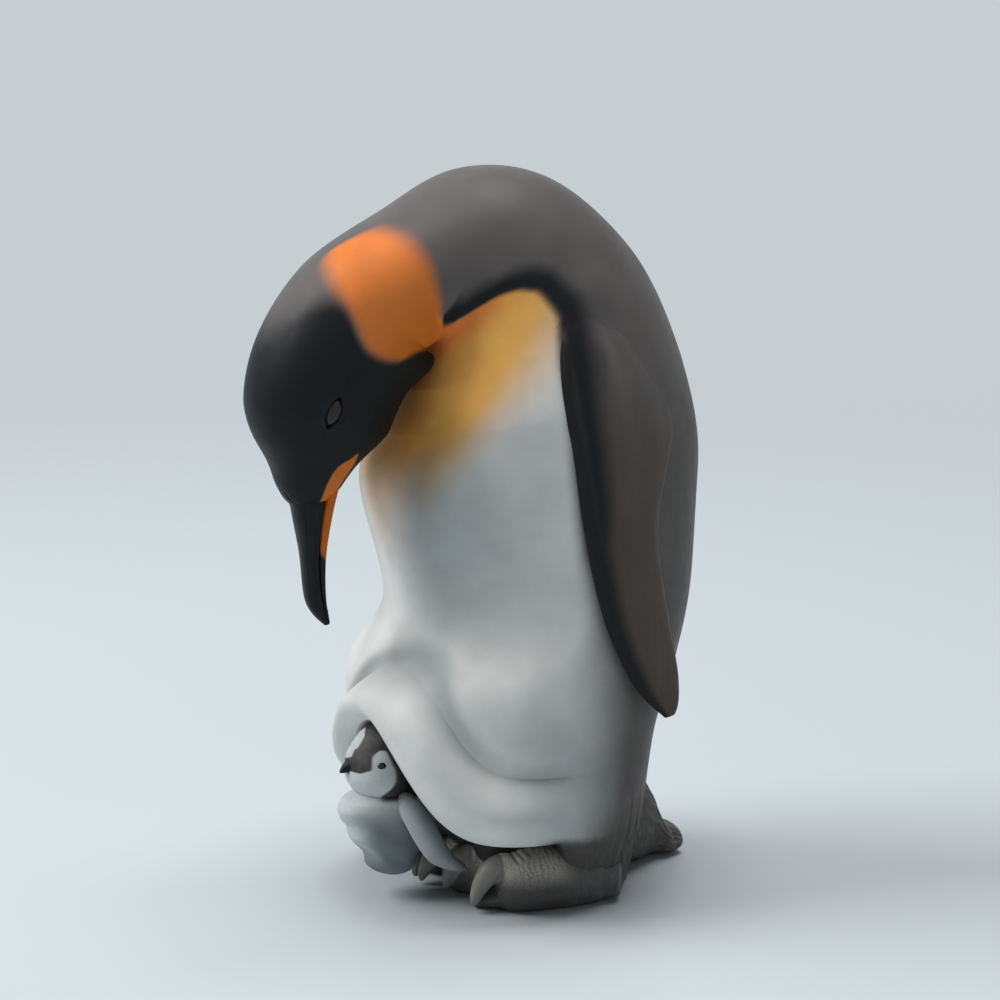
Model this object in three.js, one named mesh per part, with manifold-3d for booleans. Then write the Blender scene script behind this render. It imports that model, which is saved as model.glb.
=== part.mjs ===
// Penguin figurine: an adult bowing its head over the chick that stands on its feet.
// A painted cast-resin ornament, glued up from separate castings that brass dowels line up.
// Millimetres. The figure looks along -Y, its left side is +X and up is +Z.
import * as THREE from "three";
import { mergeVertices } from "three/addons/utils/BufferGeometryUtils.js";
import Module from "manifold-3d";

const wasm = await Module();
wasm.setup();

// Main sizes of the figure. They set the grid that the places and sections below are drawn on,
// so many squares to the figure's height, its body's depth and its body's width.
const FIGURE_HEIGHT = 119;
const BODY_DEPTH = 57;
const BODY_WIDTH = 51;
const GRID = { across: BODY_WIDTH / 51, deep: BODY_DEPTH / 57, up: FIGURE_HEIGHT / 119 };

// Glue joints: the film of glue between castings, and the dowels that line them up
const GLUE_GAP = 0.3;
const DOWEL = { diameter: 3, length: 12 };
const CHICK_DOWEL = { diameter: 1.5, length: 5 };
const FLIPPER_DOWEL_SEAT = 0.6;

// Side profile of the adult, rib by rib from the ground to the root of the bill.
// Ventral and dorsal ends are [forward, height], and width is from side to side.
const BODY_RIBS = [
  { name: "ground", ventral: [18, 0], dorsal: [-20.5, 0], width: 40 },
  { name: "shank", ventral: [23, 13], dorsal: [-23.2, 13], width: 48 },
  { name: "fold", ventral: [24.6, 27], dorsal: [-25, 27], width: 51 },
  { name: "belly", ventral: [23.5, 37.3], dorsal: [-29.4, 40], width: 51 },
  { name: "waist", ventral: [18.6, 47], dorsal: [-31.6, 50], width: 50 },
  { name: "breast", ventral: [22.4, 67], dorsal: [-32.3, 70], width: 51 },
  { name: "chest", ventral: [19.5, 77], dorsal: [-28.8, 89.5], width: 50 },
  { name: "shoulder", ventral: [16.5, 84], dorsal: [-20.8, 105.6], width: 44 },
  { name: "hump", ventral: [14.5, 89], dorsal: [-6.4, 117.4], width: 37 },
  { name: "neck", ventral: [15, 91.5], dorsal: [6, 118.6], width: 31 },
  { name: "nape", ventral: [16.8, 91], dorsal: [18.4, 112.6], width: 27 },
  { name: "occiput", ventral: [17.6, 88.6], dorsal: [32.6, 104.2], width: 25 },
  { name: "cheek", ventral: [19, 82.5], dorsal: [41, 92.8], width: 24 },
  { name: "eye", ventral: [21, 77.5], dorsal: [43.5, 83.4], width: 21 },
  { name: "lore", ventral: [26.4, 72.3], dorsal: [39.8, 71.3], width: 12 },
  { name: "bill_root", ventral: [29.4, 68], dorsal: [36.6, 66], width: 6 },
];
const BODY_SQUARENESS = 2.15;

// Loose belly skin over the chick: heights of its hem and of the crease above it.
// Both arch up in front, a few degrees to the left of the breast line, and the hem drops to the table behind.
const HEM_FRONT = 0.26 * FIGURE_HEIGHT;
const HEM_SIDE = 0.111 * FIGURE_HEIGHT;
const HEM_BACK = 0.007 * FIGURE_HEIGHT;
const HEM_MIDDLE_TURN = 4;
const HEM_ARCH_TURN = 28;
const CREASE_FRONT = 0.34 * FIGURE_HEIGHT;
const CREASE_SIDE = 0.2 * FIGURE_HEIGHT;
const CREASE_MIDDLE_TURN = 14;
const CREASE_ARCH_TURN = 29.5;
const CREASE_ARCH_EASE = 7.5;
const FOLD_BULGE = 3;
const FOLD_FADE_TURNS = [72, 122];
const ROLL_FULLNESS = 0.8;
const CREASE_DEPTH = 1.4;
const CREASE_SHARE = 0.36;

// Legs: where their feathers start, and how they tuck in over the feet
const LEG_FEATHER_TURNS = [86, 104];
const LEG_TUCK = 2.8;
const LEG_TUCK_TURNS = [88, 118];
const LEG_TUCK_SHARES = [0.6, 1.1];

// Underside: the lip of the skin, and the pocket behind it where the chick stands
const LIP_THICKNESS = 4;
const LIP_RISE = 1.5;
const LIP_FADE = [1, 8];
const POCKET_TURNS = [25, 60];
const POCKET_DEPTH = 12;
const POCKET_UNDERCUT = 7;
const SKIRT_DEPTH = 9;
const SKIRT_UNDERCUT = 1;
const SHELF_OVER_TOES = 1.5;
const SHELF_UNDER_HEM = 0.9;
const UNDERSIDE_HEIGHT = 1;

// Bill, as points [forward, height] on its ridge, mouth line and lower edge, with its width at each
const BILL_RIBS = [
  { ridge: [36.2, 70.5], mouth: [29.5, 73], underside: [28, 71], width: 6.6 },
  { ridge: [36.6, 66], mouth: [31.6, 67], underside: [30.2, 64.3], width: 5.6 },
  { ridge: [35.6, 58.3], mouth: [32.3, 59.3], underside: [30.7, 57.8], width: 3.9 },
  { ridge: [34.7, 51.2], mouth: [31.9, 53], underside: [30.8, 51.5], width: 2.9 },
  { ridge: [31.4, 47.6], mouth: [30.9, 47.6], underside: [30.4, 47.6], width: 1 },
];
const EYE = { at: [33.2, 82.2], diameter: 3.4 };
const EYE_SINK = 0.35;

// Flipper, as [forward, height, left] of its leading and trailing edges
const FLIPPER_RIBS = [
  { lead: [-2, 98.5, 21], trail: [-7.5, 97.5, 20.6], thickness: 2.4 },
  { lead: [0.2, 92.8, 22.6], trail: [-12.5, 90, 21.8], thickness: 3.8 },
  { lead: [0.9, 85, 24.2], trail: [-16.8, 81.5, 22.4], thickness: 4.6 },
  { lead: [0.2, 77.5, 25.2], trail: [-17, 73.6, 23.4], thickness: 4.8 },
  { lead: [-1.2, 65, 25.9], trail: [-15.3, 61.5, 24.6], thickness: 4.8 },
  { lead: [-4.7, 49.3, 26.6], trail: [-17.8, 47.1, 24.4], thickness: 3.8 },
  { lead: [-10.2, 38, 27], trail: [-19.3, 38.8, 24.9], thickness: 2.8 },
  { lead: [-13.4, 34.4, 26.9], trail: [-19.2, 35, 25.3], thickness: 2.2 },
  { lead: [-16.3, 32.2, 26.6], trail: [-18, 32.5, 26], thickness: 1.2 },
];

// Tail, as the [forward, height] of the middle of each section
const TAIL_RIBS = [
  { middle: [-15, 7.6], thickness: 15, width: 22 },
  { middle: [-24, 7.6], thickness: 16.4, width: 17 },
  { middle: [-27.4, 6.8], thickness: 14.2, width: 12 },
  { middle: [-28.9, 5.2], thickness: 10.4, width: 9.6 },
  { middle: [-30.2, 4], thickness: 7.8, width: 8.6 },
  { middle: [-32.8, 3.5], thickness: 6.4, width: 7.4 },
  { middle: [-34.2, 3.1], thickness: 4.4, width: 5.4 },
];

// Feet: the heel, and the claw tips that the toes run to, as [forward, outwards] from the middle line
const FOOT = {
  heel: [-9, 16.9],
  clawTips: [
    [12.1, 14.2],
    [12.5, 4.6],
    [14.4, -0.6],
  ],
};
const RIGHT_FOOT_SHIFT = 3.5;
const TOE_WIDTH = 10.4;
const TOE_HEIGHT = 10.4;
const CLAW_OVERHANG = 3.8;

// Sections of a foot: how far along, then height, tallness and width as shares of the toe's own size.
// Toes run from the heel, claws from the toe's end in shares of their overhang,
// and the pad along the middle toe.
const TOE_SECTIONS = [
  { run: -0.16, height: 0.34, tall: 0.5, wide: 0.48 },
  { run: 0.06, height: 0.44, tall: 0.94, wide: 0.92 },
  { run: 0.4, height: 0.46, tall: 1.04, wide: 1 },
  { run: 0.75, height: 0.45, tall: 0.98, wide: 0.94 },
  { run: 0.92, height: 0.4, tall: 0.76, wide: 0.7 },
  { run: 1, height: 0.36, tall: 0.4, wide: 0.36 },
];
const CLAW_SECTIONS = [
  { run: -1.3, height: 0.7, tall: 0.3, wide: 0.3, lean: 5 },
  { run: -0.4, height: 0.74, tall: 0.37, wide: 0.36, lean: 14 },
  { run: 0.25, height: 0.64, tall: 0.36, wide: 0.35, lean: 36 },
  { run: 0.68, height: 0.44, tall: 0.27, wide: 0.26, lean: 54 },
  { run: 0.92, height: 0.24, tall: 0.17, wide: 0.17, lean: 68 },
  { run: 1, height: 0.13, tall: 0.07, wide: 0.07, lean: 76 },
];
const PAD_SECTIONS = [
  { run: -0.08, height: 0.3, tall: 0.6, wide: 0.5 },
  { run: 0.3, height: 0.32, tall: 0.76, wide: 1.6 },
  { run: 0.58, height: 0.24, tall: 0.56, wide: 1.65 },
  { run: 0.8, height: 0.13, tall: 0.32, wide: 1.3 },
];

// Chick, with soft rolls down its body
const CHICK_BODY_RIBS = [
  { middle: [19.8, 3.4], depth: 3, width: 3.4 },
  { middle: [20, 4.4], depth: 6.4, width: 7 },
  { middle: [20.2, 6], depth: 8, width: 8.2 },
  { middle: [20.2, 7.8], depth: 8.4, width: 8.6 },
  { middle: [20.2, 8.5], depth: 9.8, width: 9.6 },
  { middle: [20.3, 9.3], depth: 12.4, width: 10.8 },
  { middle: [20.4, 11.4], depth: 13.9, width: 12 },
  { middle: [20.2, 12.9], depth: 15, width: 12.6 },
  { middle: [20.2, 15.4], depth: 17.8, width: 13 },
  { middle: [20, 17.1], depth: 17, width: 12 },
  { middle: [19.4, 18.8], depth: 12, width: 8.4 },
  { middle: [19, 19.8], depth: 8, width: 5 },
];
const CHICK_HEAD_RIBS = [
  { middle: [21, 17], depth: 5.4, width: 5.6 },
  { middle: [21.6, 18.6], depth: 9.6, width: 9.6 },
  { middle: [21.9, 21.5], depth: 11.8, width: 11.4 },
  { middle: [21.8, 24], depth: 11.6, width: 11.2 },
  { middle: [21.7, 26.3], depth: 9.4, width: 9.4 },
  { middle: [21.6, 28.2], depth: 6.6, width: 6.8 },
  { middle: [21.5, 29.6], depth: 3.4, width: 3.6 },
];
const CHICK_BILL_RIBS = [
  { middle: [25.6, 22.8], thickness: 3.4, width: 3.8 },
  { middle: [27.6, 22.4], thickness: 2.4, width: 2.6 },
  { middle: [29.4, 21.6], thickness: 0.8, width: 0.8 },
];
const CHICK_EYE = { at: [23.7, 23.9], diameter: 1.5 };
const CHICK_FLIPPER_RIBS = [
  { middle: [20, 19.4, 5], chord: 3, thickness: 2 },
  { middle: [19.1, 16.2, 7], chord: 4.6, thickness: 2.4 },
  { middle: [17.6, 12.3, 8.5], chord: 4.4, thickness: 2.2 },
  { middle: [16, 9.3, 9.5], chord: 3.8, thickness: 2 },
  { middle: [14, 7.6, 10.1], chord: 2.4, thickness: 1.6 },
  { middle: [11.7, 6.5, 10.6], chord: 0.8, thickness: 0.7 },
];

// Facets: sections round a casting, and rings from one rib to the next
const TORSO_SIDES = 38;
const HEAD_SIDES = 26;
const LIMB_SIDES = 16;
const SMALL_SIDES = 9;
const BEAD_SIDES = 8;
const DOWEL_SIDES = 12;
const HALVINGS = 24;
const BODY_RINGS_PER_RIB = 3;
const LIMB_RINGS_PER_RIB = 2;
const ROLL_RINGS = 7;
const BELLY_RINGS = 4;

// A point given in squares, as on a drawing of the figure's left side
const place = (forward, height, left = 0) =>
  new THREE.Vector3(left * GRID.across, -forward * GRID.deep, height * GRID.up);
const degrees = THREE.MathUtils.degToRad;
const { clamp, lerp, smoothstep } = THREE.MathUtils;

// A closed geometry becomes a solid that can be joined and cut
function solidOf(geometry) {
  const bare = geometry.index ? geometry.toNonIndexed() : geometry.clone();
  bare.deleteAttribute("normal");
  bare.deleteAttribute("uv");
  const merged = mergeVertices(bare, 1e-4);
  return new wasm.Manifold(
    new wasm.Mesh({
      numProp: 3,
      vertProperties: merged.attributes.position.array,
      triVerts: new Uint32Array(merged.index.array),
    }),
  );
}

function geometryOf(solid) {
  const { vertProperties, triVerts } = solid.getMesh();
  const geometry = new THREE.BufferGeometry();
  geometry.setAttribute("position", new THREE.BufferAttribute(vertProperties, 3));
  geometry.setIndex(new THREE.BufferAttribute(triVerts, 1));
  geometry.computeVertexNormals();
  return geometry;
}

// Skin over a stack of closed rings, with a fan of faces on each end
function skinOver(rings) {
  const sides = rings[0].length;
  const middleOf = (ring) => ring.reduce((sum, p) => sum.add(p), new THREE.Vector3()).divideScalar(sides);
  const points = [...rings.flat(), middleOf(rings[0]), middleOf(rings.at(-1))];
  const lowerPole = points.length - 2;
  const upperPole = points.length - 1;
  const topRing = (rings.length - 1) * sides;
  const faces = [];
  for (let side = 0; side < sides; side++) {
    const next = (side + 1) % sides;
    faces.push(lowerPole, next, side, upperPole, topRing + side, topRing + next);
    for (let base = 0; base < topRing; base += sides) {
      const [a, b] = [base + side, base + next];
      faces.push(a, b, b + sides, a, b + sides, a + sides);
    }
  }
  const geometry = new THREE.BufferGeometry().setFromPoints(points).setIndex(faces);
  const solid = solidOf(geometry);
  return solid.volume() > 0 ? solid : solidOf(geometry.setIndex(faces.reverse()));
}

// A rib is an oval section: its middle, and the half axes that reach from it to the oval's edge
const rib = (middle, deep, wide) => ({ middle, deep, wide });
const across = (width) => place(0, 0, width / 2);
const uprightRib = ({ middle, depth, width }) => rib(place(...middle), place(depth / 2, 0), across(width));
const levelRib = ({ middle, thickness, width }) =>
  rib(place(...middle), place(0, thickness / 2), across(width));
const between = (from, to, width) =>
  rib(from.clone().add(to).divideScalar(2), to.clone().sub(from).divideScalar(2), across(width));

function ribPoint({ middle, deep, wide }, angle, grow = 0, squareness = 2) {
  const rounded = (value) => Math.sign(value) * Math.abs(value) ** (2 / squareness);
  const reach = (axis, share) => axis.clone().setLength((axis.length() + grow) * share);
  return middle
    .clone()
    .add(reach(deep, rounded(Math.cos(angle))))
    .add(reach(wide, rounded(Math.sin(angle))));
}

// Smooth rails through a row of ribs; the function gives the rib at any position along them
function railsThrough(ribs) {
  const last = ribs.length - 1;
  const rails = ["middle", "deep", "wide"].map((key) => new THREE.CatmullRomCurve3(ribs.map((r) => r[key])));
  return (position) => rib(...rails.map((rail) => rail.getPoint(position / last)));
}

const around = (sides) => Array.from({ length: sides }, (_, side) => (2 * Math.PI * side) / sides);

// A loft through ribs, grown outwards all round where a neighbour has to clear it
function loft(ribs, { sides = LIMB_SIDES, ringsPerRib = LIMB_RINGS_PER_RIB, grow = 0, squareness = 2 } = {}) {
  const ribAt = railsThrough(ribs);
  const count = (ribs.length - 1) * ringsPerRib + 1;
  const rings = Array.from({ length: count }, (_, ring) => {
    const section = ribAt(ring / ringsPerRib);
    return around(sides).map((angle) => ribPoint(section, angle, grow, squareness));
  });
  const ends = [rings[0], rings.at(-1)];
  const run = ribs.at(-1).middle.clone().sub(ribs[0].middle).setLength(grow);
  ends[0].forEach((p) => p.sub(run));
  ends[1].forEach((p) => p.add(run));
  return skinOver(rings);
}

// Everything above the table
const ROOM = 400;
const aboveTable = solidOf(new THREE.BoxGeometry(ROOM, ROOM, ROOM).translate(0, 0, ROOM / 2));

// Adult body profile as rails
const BODY = BODY_RIBS.map(({ ventral, dorsal, width }) =>
  between(place(...dorsal), place(...ventral), width),
);
const bodyRibAt = railsThrough(BODY);
const ribNumber = (name) => BODY_RIBS.findIndex((r) => r.name === name);
const WAIST = ribNumber("waist");
const NECK_SEAM = ribNumber("hump") + 0.5;
const BILL_ROOT = ribNumber("bill_root");
const bodyPoint = (position, angle, grow = 0) => ribPoint(bodyRibAt(position), angle, grow, BODY_SQUARENESS);

// The place on a left side that a side view shows at a given [forward, height]:
// the rib that runs through it is found by halving, and then the turn on that rib
function sideAt(ribAt, last, squareness, at) {
  const target = place(...at);
  const search = { low: 0, high: last };
  for (let step = 0; step < HALVINGS; step++) {
    const position = (search.low + search.high) / 2;
    const { middle, deep } = ribAt(position);
    const away = target.clone().sub(middle);
    const above = deep.z * away.y > deep.y * away.z;
    search[above ? "low" : "high"] = position;
  }
  const section = ribAt(search.low);
  const share = target.sub(section.middle).dot(section.deep) / section.deep.lengthSq();
  const turn = Math.acos(Math.sign(share) * Math.abs(share) ** (squareness / 2));
  return ribPoint(section, turn, 0, squareness);
}
const flankAt = (at) => sideAt(bodyRibAt, BILL_ROOT, BODY_SQUARENESS, at);

// Heights round the loose belly skin, by the angle from the front
const turnFrom = (angle, middle = 0) =>
  THREE.MathUtils.radToDeg(Math.acos(Math.cos(angle - degrees(middle))));

function hemHeight(angle) {
  const arch = Math.exp(-((turnFrom(angle, HEM_MIDDLE_TURN) / HEM_ARCH_TURN) ** 2));
  return lerp(lerp(HEM_SIDE, HEM_FRONT, arch), HEM_BACK, smoothstep(turnFrom(angle), ...LEG_FEATHER_TURNS));
}

function creaseHeight(angle) {
  const pastArch = (turnFrom(angle, CREASE_MIDDLE_TURN) - CREASE_ARCH_TURN) / CREASE_ARCH_EASE;
  return lerp(CREASE_SIDE, CREASE_FRONT, 1 / (1 + Math.exp(pastArch)));
}

// How far the rolled skin stands out from the body, less the crease above it and the tuck of the leg feathers
function foldSwell(angle, height) {
  const rise = (height - hemHeight(angle)) / (creaseHeight(angle) - hemHeight(angle));
  const roll = FOLD_BULGE * Math.sin(Math.PI * clamp(rise, 0, 1)) ** ROLL_FULLNESS;
  const crease = CREASE_DEPTH * Math.exp(-(((rise - 1) / CREASE_SHARE) ** 2));
  const low = 1 - smoothstep(height / HEM_SIDE, ...LEG_TUCK_SHARES);
  const tuck = LEG_TUCK * low * (1 - smoothstep(turnFrom(angle), ...LEG_TUCK_TURNS));
  return (roll - crease) * (1 - smoothstep(turnFrom(angle), ...FOLD_FADE_TURNS)) - tuck;
}

// The skin below the waist, on one bearing and at one height
function foldPoint(angle, height, grow) {
  const search = { low: 0, high: WAIST };
  for (let step = 0; step < HALVINGS; step++) {
    const position = (search.low + search.high) / 2;
    const below = bodyPoint(position, angle).z < height;
    search[below ? "low" : "high"] = position;
  }
  return bodyPoint(search.low, angle, grow + foldSwell(angle, height)).setZ(height);
}

// A ring on the underside, set in from the hem
function undersideRing(inset, height, grow) {
  return around(TORSO_SIDES).map((angle) => {
    const edge = foldPoint(angle, hemHeight(angle), grow);
    const inwards = new THREE.Vector3(-edge.x, BODY[0].middle.y - edge.y, 0);
    return edge.add(inwards.setLength(inset(angle))).setZ(height(angle) - grow);
  });
}

// Torso: the legs inside, the pocket in front of them, the lip of the skin, its roll, then breast and back
function torsoSolid(grow = 0) {
  const behind = (angle) => smoothstep(turnFrom(angle), ...POCKET_TURNS);
  const wall = (angle) => lerp(POCKET_DEPTH, SKIRT_DEPTH, behind(angle)) - grow;
  const undercut = (angle) => wall(angle) + lerp(POCKET_UNDERCUT, SKIRT_UNDERCUT, behind(angle));
  const ceiling = (angle) => hemHeight(angle) + LIP_RISE * smoothstep(hemHeight(angle), ...LIP_FADE);
  const shelf = (angle) => Math.min(TOE_HEIGHT + SHELF_OVER_TOES, hemHeight(angle) * SHELF_UNDER_HEM);
  const underside = [
    undersideRing(undercut, () => UNDERSIDE_HEIGHT, grow),
    undersideRing(wall, shelf, grow),
    undersideRing(wall, ceiling, grow),
    undersideRing(() => LIP_THICKNESS + grow, ceiling, grow),
  ];
  const column = (angle) => {
    const [hem, crease] = [hemHeight(angle) - grow, creaseHeight(angle)];
    const waist = bodyPoint(WAIST, angle).z;
    const roll = Array.from({ length: ROLL_RINGS }, (_, ring) => lerp(hem, crease, ring / ROLL_RINGS));
    const belly = Array.from({ length: BELLY_RINGS }, (_, ring) => lerp(crease, waist, ring / BELLY_RINGS));
    return [...roll, ...belly].map((height) => foldPoint(angle, height, grow));
  };
  const columns = around(TORSO_SIDES).map(column);
  const fold = columns[0].map((_, ring) => columns.map((points) => points[ring]));
  const back = bodyRings(WAIST, NECK_SEAM, TORSO_SIDES, grow);
  const top = back.at(-1).map((point) => point.clone().addScaledVector(NECK.axis, grow));
  return skinOver([...underside, ...fold, ...back, ...(grow > 0 ? [top] : [])]);
}

function bodyRings(from, to, sides, grow = 0) {
  const steps = Math.round((to - from) * BODY_RINGS_PER_RIB);
  return Array.from({ length: steps + 1 }, (_, ring) =>
    around(sides).map((angle) => bodyPoint(lerp(from, to, ring / steps), angle, grow)),
  );
}

// The neck joint faces along the spine
const neckRib = bodyRibAt(NECK_SEAM);
const NECK = { middle: neckRib.middle, axis: neckRib.deep.clone().cross(neckRib.wide).normalize() };

// A cut keeps the largest piece and throws the offcuts away
function cutBy(solid, ...cuts) {
  const pieces = cuts.reduce((whole, cut) => whole.subtract(cut), solid).decompose();
  return pieces.reduce((largest, piece) => (piece.volume() > largest.volume() ? piece : largest));
}
const mirrored = (point, side) => point.clone().setX(point.x * side);
const SIDES = { left: 1, right: -1 };
const onBothSides = (make) => Object.values(SIDES).map(make);

// One half of the bill, between two of its three lines, with its root let into the head
function billSolid(upperLine, lowerLine, grow = 0) {
  const ribs = BILL_RIBS.map((section) =>
    between(place(...section[upperLine]), place(...section[lowerLine]), section.width),
  );
  return loft(ribs, { sides: SMALL_SIDES, grow });
}

// An eye is a bead in a round socket
function beadSolid(middle, diameter, grow = 0) {
  const bead = new THREE.SphereGeometry(diameter / 2 + grow, BEAD_SIDES, BEAD_SIDES);
  return solidOf(bead.translate(middle.x, middle.y, middle.z));
}
const sunk = (point, diameter) => point.clone().add(new THREE.Vector3(-EYE_SINK * diameter, 0, 0));
const eyePoint = sunk(flankAt(EYE.at), EYE.diameter);

// A flipper lies along the flank, which its inner face is cut to fit
function flipperSolid(side) {
  const ribs = FLIPPER_RIBS.map(({ lead, trail, thickness }) => {
    const [front, back] = [lead, trail].map((edge) => mirrored(place(...edge), side));
    const chord = front.clone().sub(back);
    const outwards = new THREE.Vector3(-chord.y, chord.x, 0).setLength(across(thickness).x);
    return rib(front.add(back).divideScalar(2), chord.divideScalar(2), outwards);
  });
  return loft(ribs);
}

// Tail, resting on the table behind the feet
function tailSolid() {
  const ribs = TAIL_RIBS.map(levelRib);
  return loft(ribs).intersect(aboveTable);
}

// A foot: three toes that run from the heel to their claw tips, and the pad that joins them
function footSolid(side, grow = 0) {
  const shift = new THREE.Vector3(side === SIDES.right ? -RIGHT_FOOT_SHIFT : 0, 0, 0);
  const spot = ([forward, outwards]) => place(forward, 0, outwards * side).add(shift);
  const heel = spot(FOOT.heel);
  const digits = FOOT.clawTips.map((tip) => {
    const line = spot(tip).sub(heel);
    return { heel, ahead: line.clone().normalize(), end: line.length() - CLAW_OVERHANG };
  });
  const options = { sides: SMALL_SIDES, grow };
  const part = (digit, sections, start, step) =>
    loft(sections.map((section) => footRib(digit, start + section.run * step, section)), options);
  const pieces = digits.flatMap((digit) => [
    part(digit, TOE_SECTIONS, 0, digit.end),
    part(digit, CLAW_SECTIONS, digit.end, CLAW_OVERHANG),
  ]);
  const middleDigit = digits[1];
  const pad = part(middleDigit, PAD_SECTIONS, 0, middleDigit.end + CLAW_OVERHANG);
  return pieces.reduce((foot, piece) => foot.add(piece), pad).intersect(aboveTable);
}

// A section of a foot at a run from the heel, leaning back by some degrees
function footRib({ heel, ahead }, run, { height, tall, wide, lean = 0 }) {
  const middle = heel.clone().addScaledVector(ahead, run).setZ(height * TOE_HEIGHT);
  const upright = new THREE.Vector3(0, 0, Math.cos(degrees(lean)));
  upright.addScaledVector(ahead, Math.sin(degrees(lean)));
  const sideways = new THREE.Vector3(ahead.y, -ahead.x, 0);
  return rib(middle, upright.setLength((tall * TOE_HEIGHT) / 2), sideways.setLength((wide * TOE_WIDTH) / 2));
}

// Chick
const chickSolid = (ribs, grow = 0) => loft(ribs.map(uprightRib), { grow });
const chickHeadAt = railsThrough(CHICK_HEAD_RIBS.map(uprightRib));
const chickCheek = sideAt(chickHeadAt, CHICK_HEAD_RIBS.length - 1, 2, CHICK_EYE.at);
const chickEyePoint = sunk(chickCheek, CHICK_EYE.diameter);
const chickBillSolid = (grow = 0) => loft(CHICK_BILL_RIBS.map(levelRib), { sides: SMALL_SIDES, grow });

function chickFlipperSolid(side) {
  const middles = CHICK_FLIPPER_RIBS.map(({ middle }) => mirrored(place(...middle), side));
  const last = middles.length - 1;
  const ribs = CHICK_FLIPPER_RIBS.map(({ chord, thickness }, number) => {
    const before = middles[Math.max(number - 1, 0)];
    const after = middles[Math.min(number + 1, last)];
    const run = after.clone().sub(before).normalize();
    const outwards = new THREE.Vector3(1, 0, 0).addScaledVector(run, -run.x).normalize();
    const edgewise = run.clone().cross(outwards);
    return rib(
      middles[number],
      edgewise.multiplyScalar(across(chord).x),
      outwards.multiplyScalar(across(thickness).x),
    );
  });
  return loft(ribs, { sides: SMALL_SIDES });
}

// Dowels: where each one is centred and the way it points
const ALONG = {
  left: new THREE.Vector3(1, 0, 0),
  back: new THREE.Vector3(0, 1, 0),
  up: new THREE.Vector3(0, 0, 1),
};

function dowelSolid({ middle, axis, size }, grow = 0) {
  const radius = size.diameter / 2 + grow;
  const rod = new THREE.CylinderGeometry(radius, radius, size.length + 2 * grow, DOWEL_SIDES);
  rod.applyQuaternion(new THREE.Quaternion().setFromUnitVectors(ALONG.back, axis));
  return solidOf(rod.translate(middle.x, middle.y, middle.z));
}

const pocketBack = foldPoint(0, hemHeight(0), 0).y + POCKET_DEPTH;
const chickDowelPlace = place(0, 14.5).setY(pocketBack + CHICK_DOWEL.length / 4);
const DOWELS = {
  neck_dowel: { ...NECK, size: DOWEL },
  tail_dowel: { middle: place(-22, 7.5), axis: ALONG.back, size: DOWEL },
  chick_dowel: { middle: chickDowelPlace, axis: ALONG.back, size: CHICK_DOWEL },
  chick_neck_dowel: { middle: place(20.8, 19.6), axis: ALONG.up, size: CHICK_DOWEL },
};
for (const [name, side] of Object.entries(SIDES)) {
  const shoulder = flankAt([-7, 76]).add(new THREE.Vector3(FLIPPER_DOWEL_SEAT - DOWEL.length / 2, 0, 0));
  const ankle = place(-4, 0, 12.5).setZ(TOE_HEIGHT);
  if (side === SIDES.right) ankle.x += RIGHT_FOOT_SHIFT;
  DOWELS[`flipper_dowel_${name}`] = { middle: mirrored(shoulder, side), axis: ALONG.left, size: DOWEL };
  DOWELS[`foot_dowel_${name}`] = { middle: mirrored(ankle, side), axis: ALONG.up, size: DOWEL };
}

// Castings, each cut back by the room its neighbours need
const rooms = {
  feet: onBothSides((side) => footSolid(side, GLUE_GAP)),
  torso: torsoSolid(GLUE_GAP),
  upperBill: billSolid("ridge", "mouth", GLUE_GAP),
  lowerBill: billSolid("mouth", "underside", GLUE_GAP),
  eyes: onBothSides((side) => beadSolid(mirrored(eyePoint, side), EYE.diameter, GLUE_GAP)),
  chickBody: chickSolid(CHICK_BODY_RIBS, GLUE_GAP),
  chickHead: chickSolid(CHICK_HEAD_RIBS, GLUE_GAP),
  chickBill: chickBillSolid(GLUE_GAP),
  chickEyes: onBothSides((side) => beadSolid(mirrored(chickEyePoint, side), CHICK_EYE.diameter, GLUE_GAP)),
};
const headRings = bodyRings(NECK_SEAM, BILL_ROOT, HEAD_SIDES);
const [leftFoot, rightFoot] = onBothSides((side) => footSolid(side));
const castings = {
  torso: cutBy(torsoSolid(), ...rooms.feet),
  head: cutBy(skinOver(headRings), rooms.torso, rooms.upperBill, rooms.lowerBill, ...rooms.eyes),
  upper_bill: billSolid("ridge", "mouth"),
  lower_bill: cutBy(billSolid("mouth", "underside"), rooms.upperBill),
  tail: cutBy(tailSolid(), rooms.torso),
  chick_body: cutBy(chickSolid(CHICK_BODY_RIBS), rooms.torso, ...rooms.feet),
  chick_head: cutBy(
    chickSolid(CHICK_HEAD_RIBS),
    rooms.torso,
    rooms.chickBody,
    rooms.chickBill,
    ...rooms.chickEyes,
  ),
  chick_bill: chickBillSolid(),
  foot_left: leftFoot,
  foot_right: cutBy(rightFoot, rooms.feet[0]),
};
for (const [name, side] of Object.entries(SIDES)) {
  castings[`eye_${name}`] = beadSolid(mirrored(eyePoint, side), EYE.diameter);
  castings[`flipper_${name}`] = cutBy(flipperSolid(side), rooms.torso);
  castings[`chick_eye_${name}`] = beadSolid(mirrored(chickEyePoint, side), CHICK_EYE.diameter);
  castings[`chick_flipper_${name}`] = cutBy(
    chickFlipperSolid(side),
    rooms.torso,
    rooms.chickBody,
    rooms.chickHead,
    ...rooms.feet,
  );
}
for (const [name, solid] of Object.entries(castings)) {
  castings[name] = cutBy(solid, ...Object.values(DOWELS).map((dowel) => dowelSolid(dowel, GLUE_GAP)));
}
const dowels = Object.entries(DOWELS).map(([name, dowel]) => [name, dowelSolid(dowel)]);

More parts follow.
